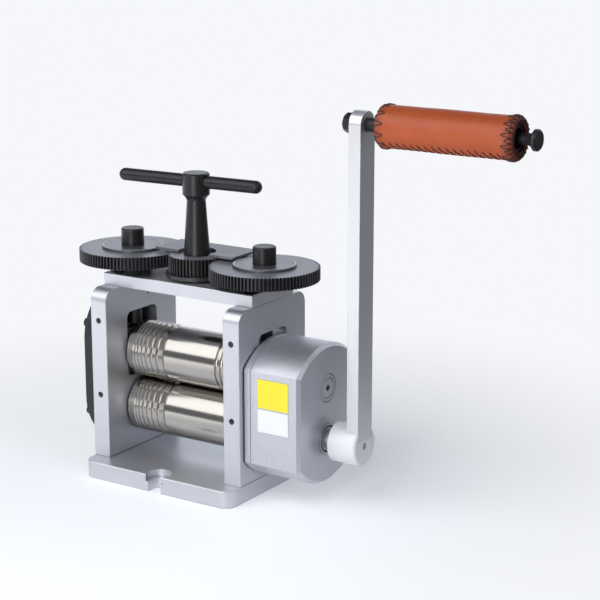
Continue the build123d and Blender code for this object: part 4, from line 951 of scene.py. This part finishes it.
@dataclass(frozen=True)
class Grip:
    """The leather round the handle, laced at both ends and along one seam."""

    start: float = 0.165
    end: float = 0.2725
    axis_z: float = 0.2900
    radius: float = 0.0155
    lip: float = 0.0097
    inner: float = 0.01305
    wall: float = 0.0019
    columns: int = 288
    seam_degrees: float = -52.0
    holes: int = 12
    hole_inset: float = 0.0084
    pucker: float = 0.00032
    thread: float = 0.00042
    seam_stitches: int = 17
    seam_pitch: float = 0.0056
    seam_reach_degrees: float = 17.0
    seam_slant: float = 0.0027
    shoulder: float = 0.0022
    pucker_inset: float = 0.0042
    pucker_reach: float = 0.0034
    ridge_height: float = 0.00045
    ridge_reach: float = 0.0028
    groove_depth: float = 0.0009
    groove_reach: float = 0.00045
    outer_rows: tuple[int, int] = (23, 233)
    left_lip_row: float = 4.0
    right_lip_row: float = 252.0
    second_lace_rows: float = 5.0

    def profile(self) -> Array:
        """The sleeve's closed outline in (x, radius).

        Straight runs join its corners, each cut into even steps, and a running
        average over a few steps rounds every corner.

        Returns:
            Points of the outline, in order, starting inside the left lip.
        """
        corners = np.array([
            (self.start + self.wall, self.lip), (self.start, self.lip),
            (self.start, self.radius - self.shoulder), (self.start + self.shoulder, self.radius),
            (self.end - self.shoulder, self.radius), (self.end, self.radius - self.shoulder),
            (self.end, self.lip), (self.end - self.wall, self.lip),
            (self.end - self.wall, self.inner), (self.start + self.wall, self.inner),
        ])
        counts = (5, 10, 8, 210, 8, 10, 5, 6, 20, 6)
        following = np.roll(corners, -1, axis=0)
        runs = [
            a + (b - a) * np.linspace(0, 1, count, endpoint=False)[:, None]
            for a, b, count in zip(corners, following, counts)
        ]
        outline = np.concatenate(runs)
        for _ in range(5):
            outline = (np.roll(outline, 1, axis=0) + 2 * outline + np.roll(outline, -1, axis=0)) / 4
        return outline

    def surface(self) -> Array:
        """The sleeve's skin on a grid of outline by turn.

        The radius is the outline's, plus a slow swell, plus a pucker that rises
        between the lacing holes near each end, plus a ridge with a fine groove
        along the seam that the stitches draw in.

        Returns:
            Points shaped (outline, turn, 3).
        """
        outline = self.profile()
        turn = np.linspace(0, 2 * np.pi, self.columns, endpoint=False)
        x = outline[:, 0][:, None]
        r = outline[:, 1][:, None]
        outer = np.clip((r - self.lip) / (self.radius - self.lip), 0, 1) ** 2
        swell = (0.00010 * np.sin(x * 105.0 + 2.0 * turn)
                 + 0.00008 * np.sin(x * 61.0 - 3.0 * turn + 1.3))
        from_end = np.minimum(x - self.start, self.end - x)
        band = np.exp(-((from_end - self.pucker_inset) / self.pucker_reach) ** 2)
        gather = -self.pucker * band * np.cos(self.holes * turn)
        from_seam = np.angle(np.exp(1j * (turn - math.radians(self.seam_degrees))))
        across = (from_seam * self.radius)[None, :]
        middle = (self.start + self.end) / 2
        draw = 0.7 + 0.3 * np.cos(2 * np.pi * (x - middle) / self.seam_pitch)
        ridge = self.ridge_height * np.exp(-(across / self.ridge_reach) ** 2) * draw
        groove = -self.groove_depth * np.exp(-(across / self.groove_reach) ** 2)
        radius = r + outer * (swell + gather + ridge + groove)
        return np.stack([np.broadcast_to(x, radius.shape), -radius * np.cos(turn),
                         self.axis_z + radius * np.sin(turn)], axis=2)

    def sample(self, grid: Array, rows: Array, turns: Array) -> Array:
        """Reads a grid between its points, by shares of the four nearest.

        Args:
            grid: values shaped (rows, columns, 3).
            rows: places along the outline, as row numbers with a fraction.
            turns: turns about the axis, in radians.

        Returns:
            Values at those places.
        """
        columns = turns / (2 * np.pi) * self.columns
        r0, c0 = np.floor(rows).astype(int), np.floor(columns).astype(int)
        fr, fc = (rows - r0)[..., None], (columns - c0)[..., None]
        height, width, _ = grid.shape
        a = grid[r0 % height, c0 % width] * (1 - fc) + grid[r0 % height, (c0 + 1) % width] * fc
        b = (grid[(r0 + 1) % height, c0 % width] * (1 - fc)
             + grid[(r0 + 1) % height, (c0 + 1) % width] * fc)
        return a * (1 - fr) + b * fr

    def row_at(self, x: float) -> float:
        """The outline's row number at a place along the outer face."""
        outline = self.profile()
        outer = np.arange(*self.outer_rows)
        return float(np.interp(x, outline[outer, 0], outer))

    def stitches(self) -> Array:
        """Where each stitch starts and ends, as (row, turn, row, turn).

        End stitches zigzag between holes set in from the end and points inside the
        lip, so each pair makes a V. The right end is laced twice, half a step on,
        which crosses them. Seam stitches slant across the seam.

        Returns:
            One line of four numbers for each stitch.
        """
        step = 2 * np.pi / self.holes
        lines = []
        left_hole, left_lip = self.row_at(self.start + self.hole_inset), self.left_lip_row
        right_hole, right_lip = self.row_at(self.end - self.hole_inset), self.right_lip_row
        for index in range(self.holes):
            hole = (index + 0.5) * step
            lines.append((left_lip, hole - 0.46 * step, left_hole, hole - 0.03 * step))
            lines.append((left_lip, hole + 0.46 * step, left_hole, hole + 0.03 * step))
            for shift, inset in ((0.0, 0.0), (0.5, self.second_lace_rows)):
                place = hole + shift * step
                row = right_hole + inset
                lines.append((row, place - 0.03 * step, right_lip, place - 0.46 * step))
                lines.append((row, place + 0.03 * step, right_lip, place + 0.46 * step))
        first = (self.start + self.end - (self.seam_stitches - 1) * self.seam_pitch) / 2
        seam = math.radians(self.seam_degrees)
        reach = math.radians(self.seam_reach_degrees)
        for index in range(self.seam_stitches):
            x = first + index * self.seam_pitch
            lines.append((self.row_at(x - self.seam_slant), seam + reach,
                          self.row_at(x + self.seam_slant), seam - reach))
        return np.array(lines)

    def build(self) -> None:
        """Makes the sleeve and its lacing in place of their CAD solids."""
        grid = self.surface()
        rows, columns, _ = grid.shape
        faces = grid_faces(rows, columns, True, True)
        sleeve = mesh_piece("grip_leather", grid, faces, LeatherFinish().material(), 60.0)
        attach(sleeve, "grip")
        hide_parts("leather_sleeve")
        LOG.info("made the leather sleeve")

        down_rows = np.roll(grid, -1, axis=0) - np.roll(grid, 1, axis=0)
        round_turn = np.roll(grid, -1, axis=1) - np.roll(grid, 1, axis=1)
        normals = np.cross(round_turn, down_rows)
        normals /= np.linalg.norm(normals, axis=2, keepdims=True)
        centre = np.array([(self.start + self.end) / 2, 0.0, self.axis_z])
        if np.dot(normals[120, 0], grid[120, 0] - centre) < 0:
            normals = -normals
        lines = self.stitches()
        share = np.linspace(0, 1, 25)[None, :]
        row = lines[:, 0:1] + (lines[:, 2:3] - lines[:, 0:1]) * share
        turn = lines[:, 1:2] + (lines[:, 3:4] - lines[:, 1:2]) * share
        ground = self.sample(grid, row, turn)
        up = self.sample(normals, row, turn)
        up /= np.linalg.norm(up, axis=2, keepdims=True)
        lift = self.thread * (-1.0 + 1.75 * np.sin(np.pi * share[0]) ** 0.35)
        paths = ground + up * lift[None, :, None]
        thick = self.thread * np.minimum(1.0, np.sin(np.pi * share[0]) * 6.0)
        thick[[0, -1]] = 0.0
        points, tube_faces = sweep_tubes(paths, up, thick, 8)
        lacing = mesh_piece("grip_thread", points, tube_faces, WAXED_THREAD.material(), 80.0)
        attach(lacing, "grip")
        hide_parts("grip_lacing")
        LOG.info("laced the grip with %d stitches", len(lines))


# --------------------------------------------------------------------- studio
@dataclass(frozen=True)
class Softbox:
    """One soft lamp: where it stands round the mill, its size and its brightness."""

    name: str
    azimuth: float
    elevation: float
    distance: float
    width: float
    height: float
    radiance: float
    colour: str = "FFFFFF"


@dataclass(frozen=True)
class Studio:
    """The floor, the lamps, the world and the camera."""

    target: tuple[float, float, float] = (0.09493, 0.0, 0.15343)
    azimuth: float = 33.03
    elevation: float = 14.17
    distance: float = 1.29407
    lens: float = 103.83
    sensor: float = 36.0
    floor_half: float = 12.0
    room: float = 0.22
    wall: float = 1.5
    dark_room: float = 0.28
    wall_top: float = 0.3
    wall_end: float = 0.6
    rear_start: float = 0.1
    rear_full: float = 0.5
    left_full: float = -0.1
    left_end: float = 0.4
    right_wall: float = 0.1
    room_colour: str = "D6DAE4"
    white_colour: str = "FBFCFF"
    softboxes: tuple[Softbox, ...] = (
        Softbox("left softbox", -38.0, 38.0, 1.5, 1.3, 1.2, 2.1),
        Softbox("front strip", 10.0, 42.0, 1.5, 0.5, 1.3, 2.6),
        Softbox("low strip", 8.0, 4.0, 0.8, 0.3, 0.36, 6.0),
        Softbox("right softbox", 80.0, 36.0, 1.8, 0.7, 1.2, 1.4, "F4F7FF"),
        Softbox("rear softbox", 165.0, 40.0, 1.9, 1.4, 0.6, 1.2, "F8FAFF"),
    )

    def direction(self, azimuth: float, elevation: float) -> Vector:
        """The unit direction from the mill at an azimuth from the front and an elevation."""
        a, e = math.radians(azimuth), math.radians(elevation)
        return Vector((math.sin(a) * math.cos(e), -math.cos(a) * math.cos(e), math.sin(e)))

    def place_camera(self) -> None:
        """Puts the camera where the photograph was taken from."""
        data = bpy.data.cameras.new("camera")
        data.lens = self.lens
        data.sensor_width = self.sensor
        data.clip_start, data.clip_end = 0.05, 50.0
        camera = put_in_scene("camera", data)
        back = self.direction(self.azimuth, self.elevation)
        camera.location = Vector(self.target) + back * self.distance
        camera.rotation_mode = "QUATERNION"
        camera.rotation_quaternion = (-back).to_track_quat("-Z", "Y")
        bpy.context.scene.camera = camera

    def place_floor(self) -> None:
        """Lays the paper: a flat square of a few rows just under the mill."""
        side = np.linspace(-self.floor_half, self.floor_half, 9)
        x, y = np.meshgrid(side, side, indexing="xy")
        points = np.stack([x, y, np.full_like(x, -0.0001)], axis=2)
        faces = grid_faces(9, 9, False, False)
        floor = mesh_piece("studio_floor", points, faces, FloorFinish().material())

    def place_lamps(self) -> None:
        """Hangs the softboxes; a lamp's power is its radiance times pi times its area."""
        for box in self.softboxes:
            data = bpy.data.lights.new(box.name, "AREA")
            data.shape = "RECTANGLE"
            data.size, data.size_y = box.width, box.height
            data.energy = box.radiance * math.pi * box.width * box.height
            data.color = linear(box.colour)[:3]
            lamp = put_in_scene(box.name, data)
            lamp.visible_camera = False
            way = self.direction(box.azimuth, box.elevation)
            lamp.location = Vector(self.target) + way * box.distance
            lamp.rotation_mode = "QUATERNION"
            lamp.rotation_quaternion = (-way).to_track_quat("-Z", "Y")

    def set_world(self) -> None:
        """The room: white for the camera, dim grey as light, and a shaped one for gloss.

        Gloss meets a pale wall low down behind the mill and to its left, and a dark
        room in front of it and overhead. The direction is read as a point on a ball of
        radius 1.
        """
        world = bpy.data.worlds.new("studio room")
        bpy.context.scene.world = world
        world.use_nodes = True
        tree = world.node_tree
        tree.nodes.clear()
        way = add_node(tree, "ShaderNodeSeparateXYZ",
                       {0: add_node(tree, "ShaderNodeTexCoord").outputs["Generated"]})
        low = remap(tree, way.outputs["Z"], self.wall_top, self.wall_end, self.wall, 0.0, True)
        rear = remap(tree, way.outputs["Y"], self.rear_start, self.rear_full, smooth=True)
        left = remap(tree, way.outputs["X"], self.left_full, self.left_end,
                     1.0, self.right_wall, True)
        corner = calc(tree, "MULTIPLY", rear, left)
        wall = calc(tree, "MULTIPLY_ADD", low, corner, self.dark_room)
        path = add_node(tree, "ShaderNodeLightPath")
        even = mix_values(tree, path.outputs["Is Glossy Ray"], self.room, wall)
        room = add_node(tree, "ShaderNodeBackground",
                        {"Color": linear(self.room_colour), "Strength": even})
        white = add_node(tree, "ShaderNodeBackground",
                         {"Color": linear(self.white_colour), "Strength": 1.0})
        seen = calc(tree, "MAXIMUM", path.outputs["Is Camera Ray"],
                    path.outputs["Is Transmission Ray"])
        both = add_node(tree, "ShaderNodeMixShader",
                        {0: seen, 1: room.outputs[0], 2: white.outputs[0]})
        add_node(tree, "ShaderNodeOutputWorld", {"Surface": both.outputs[0]})

    def build(self) -> None:
        """Sets the studio up."""
        bpy.context.scene.view_settings.view_transform = "Standard"
        self.place_camera()
        self.place_floor()
        self.place_lamps()
        self.set_world()
        LOG.info("set up the studio")


def main() -> None:
    """Loads the frame, then builds and dresses each sub-assembly in order."""
    logging.basicConfig(level=logging.INFO, format="%(name)s %(message)s")
    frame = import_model()
    Studio().build()
    MillFrame().dress(frame)
    Gearbox().dress(frame)
    RollSet().dress(frame)
    head = AdjustingHead()
    head.dress(frame)
    head.build()
    TeeHandle().dress(frame)
    Crank().dress(frame)
    Grip().build()


if __name__ == "__main__":
    main()
